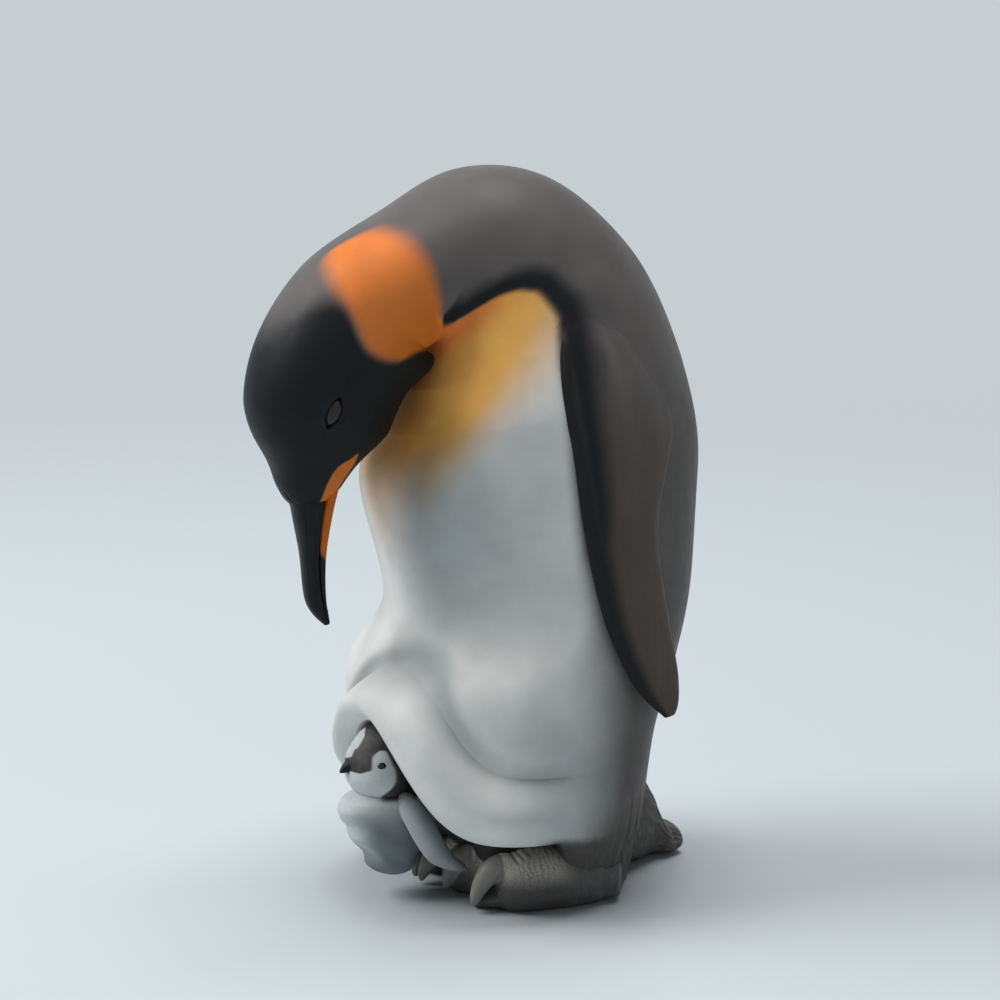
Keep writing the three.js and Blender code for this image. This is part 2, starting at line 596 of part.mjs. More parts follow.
// Finishes
const finish = (color, roughness, metalness = 0) =>
  new THREE.MeshStandardMaterial({ color, roughness, metalness });
const FINISHES = {
  white_plumage: finish(0xe8e8e6, 0.55),
  hood_black: finish(0x24282b, 0.5),
  back_grey: finish(0x4b4947, 0.55),
  bill_black: finish(0x23262a, 0.4),
  bill_orange: finish(0xd8772f, 0.4),
  foot_skin: finish(0x403d3b, 0.6),
  chick_down: finish(0xc9ced1, 0.65),
  chick_mask: finish(0x3d3835, 0.6),
  eye_black: finish(0x0b0b0c, 0.12),
  brass: finish(0xb08d4a, 0.35, 1),
};
const WEARS = {
  torso: "white_plumage",
  head: "hood_black",
  upper_bill: "bill_black",
  lower_bill: "bill_orange",
  eye: "eye_black",
  flipper: "back_grey",
  tail: "back_grey",
  foot: "foot_skin",
  chick_body: "chick_down",
  chick_head: "chick_down",
  chick_bill: "chick_mask",
  chick_eye: "eye_black",
  chick_flipper: "chick_down",
};

// The assembled figurine, centred over its footprint with its soles on the table
const figurine = new THREE.Group();
figurine.name = "penguin_figurine";
for (const [name, solid] of [...Object.entries(castings), ...dowels]) {
  const wears = name.includes("dowel") ? "brass" : WEARS[name.replace(/_(left|right)$/, "")];
  const mesh = new THREE.Mesh(geometryOf(solid), FINISHES[wears]);
  mesh.name = name;
  figurine.add(mesh);
}
const extent = new THREE.Box3().setFromObject(figurine);
const centre = extent.getCenter(new THREE.Vector3());
for (const mesh of figurine.children) mesh.geometry.translate(-centre.x, -centre.y, -extent.min.z);

export default figurine;
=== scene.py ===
# Painted resin ornament: a penguin bowing its head over the chick that stands on its feet.
# The drawing is in millimetres as (left, forward, up). The row frame is in metres and forward is -Y.
import math

import bpy
import numpy as np
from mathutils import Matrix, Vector


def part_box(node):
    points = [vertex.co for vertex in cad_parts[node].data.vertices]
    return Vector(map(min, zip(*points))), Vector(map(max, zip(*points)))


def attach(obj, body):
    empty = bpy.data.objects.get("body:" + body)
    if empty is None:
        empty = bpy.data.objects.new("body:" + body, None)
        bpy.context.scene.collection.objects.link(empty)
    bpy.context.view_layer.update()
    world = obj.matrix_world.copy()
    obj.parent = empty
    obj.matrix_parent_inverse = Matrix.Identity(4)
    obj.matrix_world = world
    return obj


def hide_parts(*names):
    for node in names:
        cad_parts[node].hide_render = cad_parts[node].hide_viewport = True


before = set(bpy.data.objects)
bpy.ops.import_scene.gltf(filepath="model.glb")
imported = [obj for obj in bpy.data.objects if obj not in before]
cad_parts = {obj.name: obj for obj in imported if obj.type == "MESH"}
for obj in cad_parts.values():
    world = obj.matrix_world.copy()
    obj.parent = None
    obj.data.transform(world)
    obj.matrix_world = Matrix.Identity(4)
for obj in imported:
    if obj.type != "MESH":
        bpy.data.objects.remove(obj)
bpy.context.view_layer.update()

# Torso
# The main casting: belly, breast, back and shoulders, poured solid in resin and airbrushed by hand.
# The loose belly skin is rolled up in front, over the pocket where the chick stands.
MM = 0.001
TAIL_DOWEL_BEHIND = 22
DRAWING_AXIS = sum(corner.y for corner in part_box("tail_dowel")) / 2 - TAIL_DOWEL_BEHIND * MM

# Ventral end [forward, up], dorsal end [forward, up] and width of each rib
BODY_RIBS = [
    ((18, 0), (-20.5, 0), 40),
    ((23, 13), (-23.2, 13), 48),
    ((24.6, 27), (-25, 27), 51),
    ((23.5, 37.3), (-29.4, 40), 51),
    ((18.6, 47), (-31.6, 50), 50),
    ((22.4, 67), (-32.3, 70), 51),
    ((19.5, 77), (-28.8, 89.5), 50),
    ((16.5, 84), (-20.8, 105.6), 44),
    ((14.5, 89), (-6.4, 117.2), 37),
    ((15, 91.5), (6, 118.4), 31),
    ((16.8, 91), (18.4, 112.6), 27),
    ((17.6, 88.6), (32.6, 104.2), 25),
    ((19, 82.5), (41, 92.8), 24),
    ((21, 77.5), (43.45, 83.4), 21),
    ((26.4, 72.3), (39.8, 71.3), 12),
    ((29.4, 68), (36.6, 66), 6),
]
WAIST = 4
NECK_SEAM = 8.5
BILL_ROOT = 15
BODY_SQUARENESS = 2.15

HEM_FRONT, HEM_SIDE, HEM_BACK = 31, 13.2, 0.8
CREASE_FRONT, CREASE_SIDE = 40.5, 24
HEM_MIDDLE, CREASE_MIDDLE = 4, 14
HEM_ARCH_SPREAD = 28
LEG_FEATHERS_START = (86, 104)
CREASE_TURN, CREASE_TURN_SPREAD = 29.5, 7.5
FOLD_FADE = (72, 122)
FOLD_BULGE, FOLD_ROUNDNESS, CREASE_DEPTH, CREASE_WIDTH = 3, 0.8, 1.4, 0.36
CREASE_FADE = (1.6, 1.2)
LEG_TUCK, LEG_TUCK_TURNS, LEG_TUCK_SHARES = 2.8, (118, 88), (1.1, 0.6)
LIP_THICKNESS, LIP_RISE, LIP_DROP, LIP_HEMS, LIP_STEPS = 4, 1.5, 0.7, (1, 8), 14
POCKET_TURN = (25, 60)
POCKET_DEPTH, SKIRT_DEPTH, POCKET_UNDERCUT, LEG_UNDERCUT = 12, 9, 7, 1
UNDERSIDE_HEIGHT, SHELF_HEIGHT, SHELF_SHARE = 1, 11.9, 0.9


def rail(points, at):
    """A smooth curve through a row of points, read at places counted in points from the first."""
    p = np.asarray(points, float)
    p = np.vstack([2 * p[0] - p[1], p, 2 * p[-1] - p[-2]])
    start = np.clip(np.floor(at).astype(int), 0, len(p) - 4)
    share = (at - start)[..., None]
    p0, p1, p2, p3 = (p[start + step] for step in range(4))
    d0, d1, d2 = (
        np.maximum(np.sqrt(np.linalg.norm(b - a, axis=-1, keepdims=True)), 0.01)
        for a, b in ((p0, p1), (p1, p2), (p2, p3))
    )
    leave = d1 * ((p1 - p0) / d0 - (p2 - p0) / (d0 + d1) + (p2 - p1) / d1)
    arrive = d1 * ((p2 - p1) / d1 - (p3 - p1) / (d1 + d2) + (p3 - p2) / d2)
    bend = 3 * (p2 - p1) - 2 * leave - arrive
    return p1 + share * (leave + share * (bend + share * (2 * (p1 - p2) + leave + arrive)))


def profile(*points):
    """A smooth curve through points (place, value), as a function of the place."""
    path = rail(points, np.linspace(0, len(points) - 1, 40 * len(points)))
    return lambda place: np.interp(place, path[:, 0], path[:, 1])


def smooth(start, end, value):
    """0 before start, 1 after end, and an even ease between them."""
    share = np.clip((value - start) / (end - start), 0, 1)
    return share * share * (3 - 2 * share)


def window(value, rise, fall):
    """1 inside a window and 0 outside it. It opens over one stretch of values and closes over another."""
    return smooth(*rise, value) * smooth(*fall, value)


def soft_edge(softness, value):
    """0 outside a border and 1 inside it, with a soft edge of the given width."""
    return smooth(-softness / 2, softness / 2, value)


def bell(value, middle, spread):
    """1 at the middle, fading to 0 on both sides of it."""
    return np.exp(-(((value - middle) / spread) ** 2))


def lerp(start, end, share):
    return start + (end - start) * share


def unit(vectors):
    return vectors / np.linalg.norm(vectors, axis=-1, keepdims=True)


def rail_ribs(ribs, at):
    """Middle, deep half axis and wide half axis of the oval section at a place along a row of ribs."""
    return [rail([rib[part] for rib in ribs], at) for part in range(3)]


def oval(middle, deep, wide, turn, grow=0.0, squareness=2.0):
    """Points on oval sections: turn 0 is the deep end, 90 the wide end, and grow moves the edge out."""
    def reach(axis, share):
        length = np.linalg.norm(axis, axis=-1)
        rounded = np.sign(share) * np.abs(share) ** (2 / squareness)
        return axis * (rounded * (1 + grow / length))[..., None]
    angle = np.radians(turn)
    return middle + reach(deep, np.cos(angle)) + reach(wide, np.sin(angle))


def section_between(upper, lower, width):
    """A section between two ends [forward, up]: its middle, deep half axis and wide half axis."""
    middle = (0, (upper[0] + lower[0]) / 2, (upper[1] + lower[1]) / 2)
    deep = (0, (upper[0] - lower[0]) / 2, (upper[1] - lower[1]) / 2)
    return middle, deep, (width / 2, 0, 0)


body_ovals = [section_between(*rib) for rib in BODY_RIBS]
BODY_AXIS = body_ovals[0][0][1]


def body_skin(at, turn, grow=0.0):
    return oval(*rail_ribs(body_ovals, at), turn, grow, BODY_SQUARENESS)


def turns_round(sides):
    """Turns round a ring, from the breast line over the left side to the back and on."""
    return np.linspace(0, 360, sides, endpoint=False)


def turned_from(turn, middle=0):
    """How far a turn is from another one, whichever way is shorter."""
    return np.abs((turn - middle + 180) % 360 - 180)


def hem_height(turn):
    arch = lerp(HEM_SIDE, HEM_FRONT, bell(turned_from(turn, HEM_MIDDLE), 0, HEM_ARCH_SPREAD))
    return lerp(arch, HEM_BACK, smooth(*LEG_FEATHERS_START, turned_from(turn)))


def crease_height(turn):
    past_arch = (turned_from(turn, CREASE_MIDDLE) - CREASE_TURN) / CREASE_TURN_SPREAD
    return lerp(CREASE_SIDE, CREASE_FRONT, 1 / (1 + np.exp(past_arch)))


def fold_swell(turn, up):
    """How far the rolled skin stands out from the body, less its crease and the tuck over the feet."""
    rise = (up - hem_height(turn)) / (crease_height(turn) - hem_height(turn))
    roll = FOLD_BULGE * np.sin(np.pi * np.clip(rise, 0, 1)) ** FOLD_ROUNDNESS
    crease = CREASE_DEPTH * bell(rise, 1, CREASE_WIDTH) * smooth(*CREASE_FADE, rise)
    tuck = LEG_TUCK * smooth(*LEG_TUCK_SHARES, up / HEM_SIDE) * smooth(*LEG_TUCK_TURNS, turned_from(turn))
    return (roll - crease) * (1 - smooth(*FOLD_FADE, turned_from(turn))) - tuck


def rib_at_height(up, turn):
    """Place along the ribs, below the waist, where the skin on one bearing has a given height."""
    low, high = np.zeros_like(up), np.full_like(up, WAIST)
    for _ in range(24):
        middle = (low + high) / 2
        below = body_skin(middle, turn)[..., 2] < up
        low, high = np.where(below, middle, low), np.where(below, high, middle)
    return low


def fold_skin(turn, up):
    at = rib_at_height(up, turn)
    points = body_skin(at, turn, fold_swell(turn, up))
    points[..., 2] = up
    return points, at


def underside_rows(turn):
    """Rings from the middle of the underside to the hem: pocket floor, wall, ceiling and rounded lip."""
    hem = hem_height(turn)
    behind = smooth(*POCKET_TURN, turned_from(turn))
    wall = lerp(POCKET_DEPTH, SKIRT_DEPTH, behind)
    undercut = wall + lerp(POCKET_UNDERCUT, LEG_UNDERCUT, behind)
    ceiling = hem + LIP_RISE * smooth(*LIP_HEMS, hem)
    shelf = np.minimum(SHELF_HEIGHT, hem * SHELF_SHARE)
    edge, _ = fold_skin(turn, hem)
    inwards = unit(np.stack([-edge[:, 0], BODY_AXIS - edge[:, 1]], -1))
    rows = [(lerp(undercut, wall, k), lerp(UNDERSIDE_HEIGHT, shelf, k)) for k in (0, 0.5, 1)]
    rows += [(wall, lerp(shelf, ceiling, k)) for k in (0.25, 0.5, 0.75, 1)]
    rows += [(lerp(wall, LIP_THICKNESS, k), ceiling) for k in (0.3, 0.6, 0.85)]
    for bend in np.linspace(0, 180, LIP_STEPS, endpoint=False):
        inset = LIP_THICKNESS * (1 + math.cos(math.radians(bend))) / 2
        drop = LIP_DROP * math.sin(math.radians(bend)) * smooth(*LIP_HEMS, hem)
        rows.append((inset + 0 * hem, lerp(hem, ceiling, inset / LIP_THICKNESS) - drop))
    return np.array([
        np.column_stack([edge[:, :2] + inwards * inset[:, None], up])
        for inset, up in rows
    ])


def to_left(points):
    """Factors that mirror the points of the right side over to the left, and back again."""
    return np.where(points[..., :1] < 0, (-1, 1, 1), (1, 1, 1))


def press(points, spot, reach, push):
    """Sculpting: points near a spot, on both sides alike, are pushed by up to the given amount."""
    near = np.exp(-np.sum(((points * to_left(points) - spot) / reach) ** 2, -1))
    side = np.clip(points[..., 0] / 2, -1, 1)
    ones = np.ones_like(side)
    return points + near[..., None] * np.stack([side, ones, ones], -1) * push


def strokes(across, along):
    """Uneven strokes that run along one way, as a value about 0."""
    drift = np.sin(along * 0.23 + across * 0.11) + 0.6 * np.sin(along * 0.61 - across * 0.07)
    return (
        np.sin(across * 2.1 + 1.3 * drift)
        + 0.7 * np.sin(across * 3.7 - 0.9 * drift + 1.0)
        + 0.5 * np.sin(across * 5.9 + 0.7 * drift + 2.2)
    ) / 2.2


def skin_over(rings):
    """Closed mesh over a stack of rings of points: walls from ring to ring and a fan over each end."""
    count, sides, _ = rings.shape
    points = np.vstack([rings.reshape(-1, 3), rings[0].mean(0), rings[-1].mean(0)])
    side = np.arange(sides)
    after = (side + 1) % sides
    base = np.arange(count - 1)[:, None] * sides
    corners = [base + side, base + after, base + sides + after, base + sides + side]
    walls = np.stack(corners, -1).reshape(-1, 4)
    top = (count - 1) * sides
    low_fan = np.stack([np.full(sides, count * sides), after, side], -1)
    high_fan = np.stack([np.full(sides, count * sides + 1), top + side, top + after], -1)
    faces = walls.tolist() + low_fan.tolist() + high_fan.tolist()
    a, b, c = (points[walls[:, corner]] - points.mean(0) for corner in range(3))
    if np.sum(a * np.cross(b, c)) < 0:
        faces = [face[::-1] for face in faces]
    return points, faces


CREASE_ANGLE = 55


def show(name, data):
    """A new object in the scene."""
    thing = bpy.data.objects.new(name, data)
    bpy.context.scene.collection.objects.link(thing)
    return thing


def add_piece(name, points, faces, material, slot, masks, *nodes):
    """A casting in place of its plain node: points on the drawing, faces, paint masks and finish."""
    mesh = bpy.data.meshes.new(name)
    placed = np.column_stack([points[:, 0], -points[:, 1], points[:, 2]]) * MM
    placed[:, 1] += DRAWING_AXIS
    mesh.from_pydata(placed.tolist(), [], faces)
    mesh.shade_smooth()
    mesh.set_sharp_from_angle(angle=math.radians(CREASE_ANGLE))
    for label, values in masks.items():
        mask = mesh.attributes.new(label, "FLOAT", "POINT")
        mask.data.foreach_set("value", np.asarray(values, np.float32))
    mesh.materials.append(material)
    piece = show(name, mesh)
    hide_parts(*nodes)
    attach(piece, "root")


def add_rings(name, rings, material, slot, masks, *nodes):
    """A casting skinned over rings of points, with masks over the rings carried on to the two end fans."""
    fanned = {
        label: np.concatenate([values.ravel(), [values[0].mean(), values[-1].mean()]])
        for label, values in masks.items()
    }
    add_piece(name, *skin_over(rings), material, slot, fanned, *nodes)


# Airbrushed borders on the body: the turn from the breast line at a place along the ribs,
# or the place along the ribs at a turn
back_border = profile(
    (0, 90), (0.5, 92), (0.8, 95), (1.12, 99), (1.6, 102), (2.1, 101), (2.5, 98), (2.9, 94), (3.5, 89),
    (4.2, 85), (5, 83), (5.56, 81), (6.04, 79.5), (6.58, 79.5), (6.94, 81.5), (7.16, 84), (7.38, 86),
    (7.62, 86), (7.86, 83.5), (8.3, 73.5), (8.6, 62), (8.92, 50), (9.2, 45), (9.45, 46), (9.65, 51),
    (9.85, 58), (10.1, 63), (11, 66), (15, 66),
)
# The back's border is widest low down, where its soft grey is partly painted shade across the flank.
back_softness = profile(
    (0, 8), (1, 12), (1.6, 14), (2.9, 14), (3.7, 9), (4.5, 5), (6.5, 3.4), (7.3, 2.2), (8, 1.8), (9, 2.2),
    (15, 1.2),
)
band_width = profile(
    (0, 0), (4.1, 0), (4.6, 2), (5, 3.5), (6, 4.3), (6.9, 5), (7.3, 4), (7.6, 3.4), (8.3, 4.2), (8.6, 5),
    (8.9, 6), (9.3, 5.5), (9.5, 4), (9.7, 1.5), (9.9, 0), (15, 0),
)
breast_border = profile(
    (0, 5.1), (10, 5.2), (20, 5.3), (30, 5.4), (37, 5.6), (46, 6.05), (57, 6.5), (70, 6.82), (78, 7),
    (180, 7.5),
)
ear_start = profile(
    (0, 9.2), (30, 9.4), (46.5, 9.64), (57, 9.8), (66, 9.88), (76, 9.95), (97, 10.06), (118, 10.15),
    (130, 10.2), (142, 10.25), (154, 10.32), (165, 10.4), (171, 10.54), (175, 10.75), (180, 11.1),
)
# The hood starts where the ear patch ends, as far round as the cheek
CHEEK_EDGE = (
    (0, 10.1), (30, 10.45), (41, 10.8), (55, 11.12), (63, 11.34), (70, 11.5), (77, 11.56), (85, 11.59),
    (92, 11.58),
)
ear_end = profile(
    *CHEEK_EDGE, (98, 11.5), (105, 11.4), (112, 11.32), (120, 11.26), (127, 11.22), (134, 11.17),
    (148, 11.08), (158, 11), (167, 10.93), (175, 10.8), (180, 10.5),
)
hood_border = profile(
    *CHEEK_EDGE, (98, 11.54), (105, 11.46), (112, 11.37), (120, 11.29), (127, 11.26), (138, 11.3),
    (150, 11.45), (160, 11.65), (172, 11.8), (180, 11.85),
)
hood_softness = profile((0, 1), (50, 1.2), (80, 1.7), (125, 2), (145, 4.5), (165, 7), (180, 7))
RIB_SPACING = 8.5
EAR_SOFTNESS = 3
BREAST_FADE = 0.75
BAND_SHARES, BAND_WIDTHS = (1.5, 0.55), (0, 2)
THROAT_RIBS = (7.6, 8.7)
# Strength of a paint, and the stretches of ribs and of turns over which it comes in. The deep orange low on
# the ear patch is partly the paint's own gradient and partly painted shade where the patch turns downward.
STREAK, DEEP = (0.5, (5.3, 6.4), (26, 8)), (0.85, (9.6, 10.2), (112, 66))
LOW_BACK = (0.25, (6.6, 5.4), (104, 124))
# The flank's grey is painted shade, over the upper belly and the breast below the head.
FLANK_PAINTED_SHADE, FLANK_RIBS, FLANK_TURNS = 0.8, ((3.2, 4.8), (7, 5.4)), ((4, 26), (94, 26))


def plumage_masks(at, turn, ear_turn):
    """Airbrushed masks over the body: dark back, black hood and band, golden breast, orange ear patch, and
    painted shade under the head.
    """
    def over(strength, ribs, turns):
        return strength * smooth(*turns, turn) * smooth(*ribs, at)
    _, deep, wide = rail_ribs(body_ovals, at)
    per_degree = (np.linalg.norm(deep, axis=-1) + np.linalg.norm(wide, axis=-1)) / 2 * math.pi / 180
    behind = (turn - back_border(at)) * per_degree
    dark = soft_edge(back_softness(at), behind)
    width = band_width(at)
    band = dark * smooth(*BAND_SHARES, behind / np.maximum(width, 0.01)) * smooth(*BAND_WIDTHS, width)
    hood = soft_edge(hood_softness(turn) / RIB_SPACING, at - hood_border(turn))
    inside_ear = np.minimum(at - ear_start(ear_turn), ear_end(ear_turn) - at) * RIB_SPACING
    throat = np.clip(smooth(*THROAT_RIBS, at) + over(*STREAK), 0, 1) * (1 - dark)
    return {
        "dark": dark,
        "black": np.maximum.reduce([band, hood, over(*LOW_BACK)]),
        "gold": soft_edge(2 * BREAST_FADE, at - breast_border(turn)),
        "orange": np.maximum(soft_edge(EAR_SOFTNESS, inside_ear), throat),
        "deep": over(*DEEP),
        "wash": FLANK_PAINTED_SHADE * window(at, *FLANK_RIBS) * window(turn, *FLANK_TURNS),
        "umber": 0 * at,
        "legs": 0 * at,
    }


# Paints, and the shader helpers that every finish uses
def paint(code):
    """A paint chip's web colour as the linear colour that a shader takes."""
    shares = [int(code[place:place + 2], 16) / 255 for place in (1, 3, 5)]
    return tuple(s / 12.92 if s < 0.04045 else ((s + 0.055) / 1.055) ** 2.4 for s in shares) + (1,)


def fill(tree, node, inputs):
    """Sets a node's inputs to values, or links them to other nodes' outputs."""
    for name, value in inputs.items():
        if isinstance(value, bpy.types.NodeSocket):
            tree.links.new(value, node.inputs[name])
        else:
            node.inputs[name].default_value = value


def add(tree, kind, inputs=(), **settings):
    """A shader node with its settings and inputs."""
    node = tree.nodes.new("ShaderNode" + kind)
    for name, value in settings.items():
        setattr(node, name, value)
    fill(tree, node, dict(inputs))
    return node


def mixed(tree, share, below, above, blend="MIX"):
    return add(tree, "Mix", {0: share, 6: below, 7: above}, data_type="RGBA", blend_type=blend).outputs[2]


def sum_of(tree, first, second, operation="ADD"):
    return add(tree, "Math", {0: first, 1: second}, operation=operation).outputs[0]


def ranged(tree, value, start, end, low=0, high=1, **settings):
    """A value carried over from one range to another, and held at its ends."""
    inputs = {"Value": value, 1: start, 2: end, 3: low, 4: high}
    return add(tree, "MapRange", inputs, **settings).outputs[0]


def where_on(tree):
    return add(tree, "TexCoord").outputs["Object"]


def noise(tree, scale, detail, **inputs):
    """Cloudy noise through the piece, with a scale in clouds to the metre."""
    inputs = {"Vector": where_on(tree), "Scale": scale, "Detail": detail, **inputs}
    return add(tree, "TexNoise", inputs).outputs["Fac"]


def effect(name, inputs, outputs):
    """A shader node group with named sockets, given as {name: (kind, value)} and {name: kind}."""
    group = bpy.data.node_groups.new(name, "ShaderNodeTree")
    for label, (kind, value) in inputs.items():
        socket = group.interface.new_socket(label, in_out="INPUT", socket_type="NodeSocket" + kind)
        socket.default_value = value
    for label, kind in outputs.items():
        group.interface.new_socket(label, in_out="OUTPUT", socket_type="NodeSocket" + kind)
    return group, group.nodes.new("NodeGroupInput").outputs, group.nodes.new("NodeGroupOutput")


SPECKLE_SCALE, SPECKLE_DETAIL = 3200, 2
EDGE_GAIN = 4


def overspray_effect():
    """Airbrush overspray: a soft mask breaks up into fine speckle where it fades."""
    inputs = {"Mask": ("Float", 0), "Speckle": ("Float", 0.5)}
    group, given, gives = effect("overspray", inputs, {"Mask": "Float"})
    dots = noise(group, SPECKLE_SCALE, SPECKLE_DETAIL)
    spread = sum_of(group, sum_of(group, dots, 0.5, "SUBTRACT"), given["Speckle"], "MULTIPLY")
    empty = sum_of(group, 1, given["Mask"], "SUBTRACT")
    edge = sum_of(group, sum_of(group, given["Mask"], empty, "MULTIPLY"), EDGE_GAIN, "MULTIPLY")
    terms = {0: spread, 1: edge, 2: given["Mask"]}
    moved = add(group, "Math", terms, operation="MULTIPLY_ADD", use_clamp=True)
    fill(group, gives, {"Mask": moved.outputs[0]})
    return group


# Scale and detail of each layer of noise, and how far it moves the colour or the roughness
CLOUDS, PATCHES, PEEL = (140, 5), (420, 3), (2600, 2)
NOISE_MIDDLE = (0.3, 0.7)
CLOUD_LIGHT, PATCH_ROUGHNESS = (0.82, 1.14), (-0.06, 0.06)


def cast_skin_effect():
    """Painted resin: broad clouds of uneven colour, satin patches, and the orange peel of sprayed paint."""
    inputs = {"Color": ("Color", (1, 1, 1, 1)), "Roughness": ("Float", 0.5), "Clouds": ("Float", 0.08)}
    outputs = {"Color": "Color", "Roughness": "Float", "Height": "Float"}
    group, given, gives = effect("cast_skin", inputs, outputs)
    light = ranged(group, noise(group, *CLOUDS), *NOISE_MIDDLE, *CLOUD_LIGHT)
    uneven = ranged(group, noise(group, *PATCHES), *NOISE_MIDDLE, *PATCH_ROUGHNESS)
    fill(group, gives, {
        "Color": mixed(group, given["Clouds"], given["Color"], light, "MULTIPLY"),
        "Roughness": sum_of(group, given["Roughness"], uneven),
        "Height": noise(group, *PEEL),
    })
    return group


STROKE_STRETCH = (1, 1, 0.12)
STROKE_MIDDLE, STROKE_DETAIL, STROKE_ROUGHNESS = (0.35, 0.65), 4, 0.6


def feather_effect():
    """Brushed feather strokes that run up and down: a colour share and a height."""
    inputs = {"Amount": ("Float", 1), "Fineness": ("Float", 900)}
    group, given, gives = effect("feather_strokes", inputs, {"Light": "Float", "Height": "Float"})
    drawn_out = add(group, "Mapping", {"Vector": where_on(group), "Scale": STROKE_STRETCH}).outputs[0]
    streaks = noise(group, given["Fineness"], STROKE_DETAIL, Vector=drawn_out, Roughness=STROKE_ROUGHNESS)
    shown = sum_of(group, ranged(group, streaks, *STROKE_MIDDLE), given["Amount"], "MULTIPLY")
    fill(group, gives, {"Light": shown, "Height": shown})
    return group


overspray = overspray_effect()
cast_skin = cast_skin_effect()
feather_strokes = feather_effect()


def new_finish(name):
    material = bpy.data.materials.new(name)
    material.use_nodes = True
    tree = material.node_tree
    return material, tree, tree.nodes["Principled BSDF"]


def place_effect(tree, group, inputs):
    return add(tree, "Group", inputs, node_tree=group).outputs


def carried(tree, name):
    """A mask that the mesh carries, as it is."""
    return add(tree, "Attribute", attribute_name=name).outputs["Fac"]


def mask_of(tree, name, speckle):
    """A mask that the mesh carries, with airbrush overspray along its border."""
    return place_effect(tree, overspray, {"Mask": carried(tree, name), "Speckle": speckle})["Mask"]


def coat(tree, shader, colour, roughness, clouds):
    """Coats a finish with the skin of painted resin, and gives back the height of its orange peel."""
    skin = place_effect(tree, cast_skin, {"Color": colour, "Roughness": roughness, "Clouds": clouds})
    fill(tree, shader, {"Base Color": skin["Color"], "Roughness": skin["Roughness"]})
    return skin["Height"]


def bump(tree, height, depth, strength, under=None):
    """A bump of a given real depth in millimetres, on top of another one."""
    inputs = {"Height": height, "Distance": depth * MM, "Strength": strength}
    if under is not None:
        inputs["Normal"] = under
    return add(tree, "Bump", inputs).outputs["Normal"]


WHITE_PAINT, GOLD_PAINT = paint("#e2e2df"), paint("#fabb62")
ORANGE_PAINT, DEEP_ORANGE_PAINT = paint("#e4813e"), paint("#ce7226")
GREY_PAINT, LIT_GREY_PAINT, BLACK_PAINT = paint("#645f5d"), paint("#736e6b"), paint("#1a1d1f")
# Umber paint, and a grey that stands for painted shade.
UMBER_PAINT, GREY_PAINTED_SHADE = paint("#584e47"), paint("#97a2a8")
PLUMAGE_SPECKLE, PLUMAGE_SPECULAR, FEATHER_FINENESS = 0.15, 0.12, 1100
# Roughness and clouds of a painted skin, and depth and strength of a bump
PLUMAGE_SKIN, PEEL_BUMP, FEATHER_BUMP = (0.46, 0.5), (0.012, 0.5), (0.25, 0.8)


def plumage_finish():
    """Airbrushed plumage over white primer, with grey painted shade where the mesh carries it, and brushed
    feather strokes on the legs and tail.
    """
    material, tree, shader = new_finish("airbrushed_plumage")
    gold, dark, orange, black = (
        mask_of(tree, name, PLUMAGE_SPECKLE) for name in ("gold", "dark", "orange", "black")
    )
    legs, wash, umber, deep = (carried(tree, name) for name in ("legs", "wash", "umber", "deep"))
    drawn = place_effect(tree, feather_strokes, {"Amount": legs, "Fineness": FEATHER_FINENESS})
    grey = mixed(tree, drawn["Light"], GREY_PAINT, LIT_GREY_PAINT)
    # Painted shade: a grey multiplied over the white and gold paint where the mesh's shade mask lies.
    colour = mixed(tree, wash, mixed(tree, gold, WHITE_PAINT, GOLD_PAINT), GREY_PAINTED_SHADE, "MULTIPLY")
    colour = mixed(tree, dark, colour, mixed(tree, umber, grey, UMBER_PAINT))
    colour = mixed(tree, orange, colour, mixed(tree, deep, ORANGE_PAINT, DEEP_ORANGE_PAINT))
    colour = mixed(tree, black, colour, BLACK_PAINT)
    peel = coat(tree, shader, colour, *PLUMAGE_SKIN)
    feathery = bump(tree, drawn["Height"], *FEATHER_BUMP, bump(tree, peel, *PEEL_BUMP))
    fill(tree, shader, {"Specular IOR Level": PLUMAGE_SPECULAR, "Normal": feathery})
    return material


plumage = plumage_finish()

TORSO_SIDES = 288
POCKET_ROWS, ROLL_ROWS, BELLY_ROWS, BACK_ROWS = 11, 64, 56, 120
torso_turn = turns_round(TORSO_SIDES)
hem, crease = hem_height(torso_turn), crease_height(torso_turn)
waist_up = body_skin(np.full(TORSO_SIDES, float(WAIST)), torso_turn)[:, 2]
roll_up = lerp(hem, crease, np.linspace(0, 1, ROLL_ROWS, endpoint=False)[:, None])
belly_up = lerp(crease, waist_up, np.linspace(0, 1, BELLY_ROWS, endpoint=False)[:, None])
fold_up = np.vstack([roll_up, belly_up])
fold_points, fold_at = fold_skin(np.broadcast_to(torso_turn, fold_up.shape), fold_up)
back_at = np.repeat(np.linspace(WAIST, NECK_SEAM, BACK_ROWS)[:, None], TORSO_SIDES, 1)
back_points = body_skin(back_at, np.broadcast_to(torso_turn, back_at.shape))
under_points = underside_rows(torso_turn)
under_at = np.broadcast_to(fold_at[0], under_points.shape[:2])
torso_points = np.concatenate([under_points, fold_points, back_points])
torso_at = np.concatenate([under_at, fold_at, back_at])
torso_front = np.broadcast_to(turned_from(torso_turn), torso_at.shape)

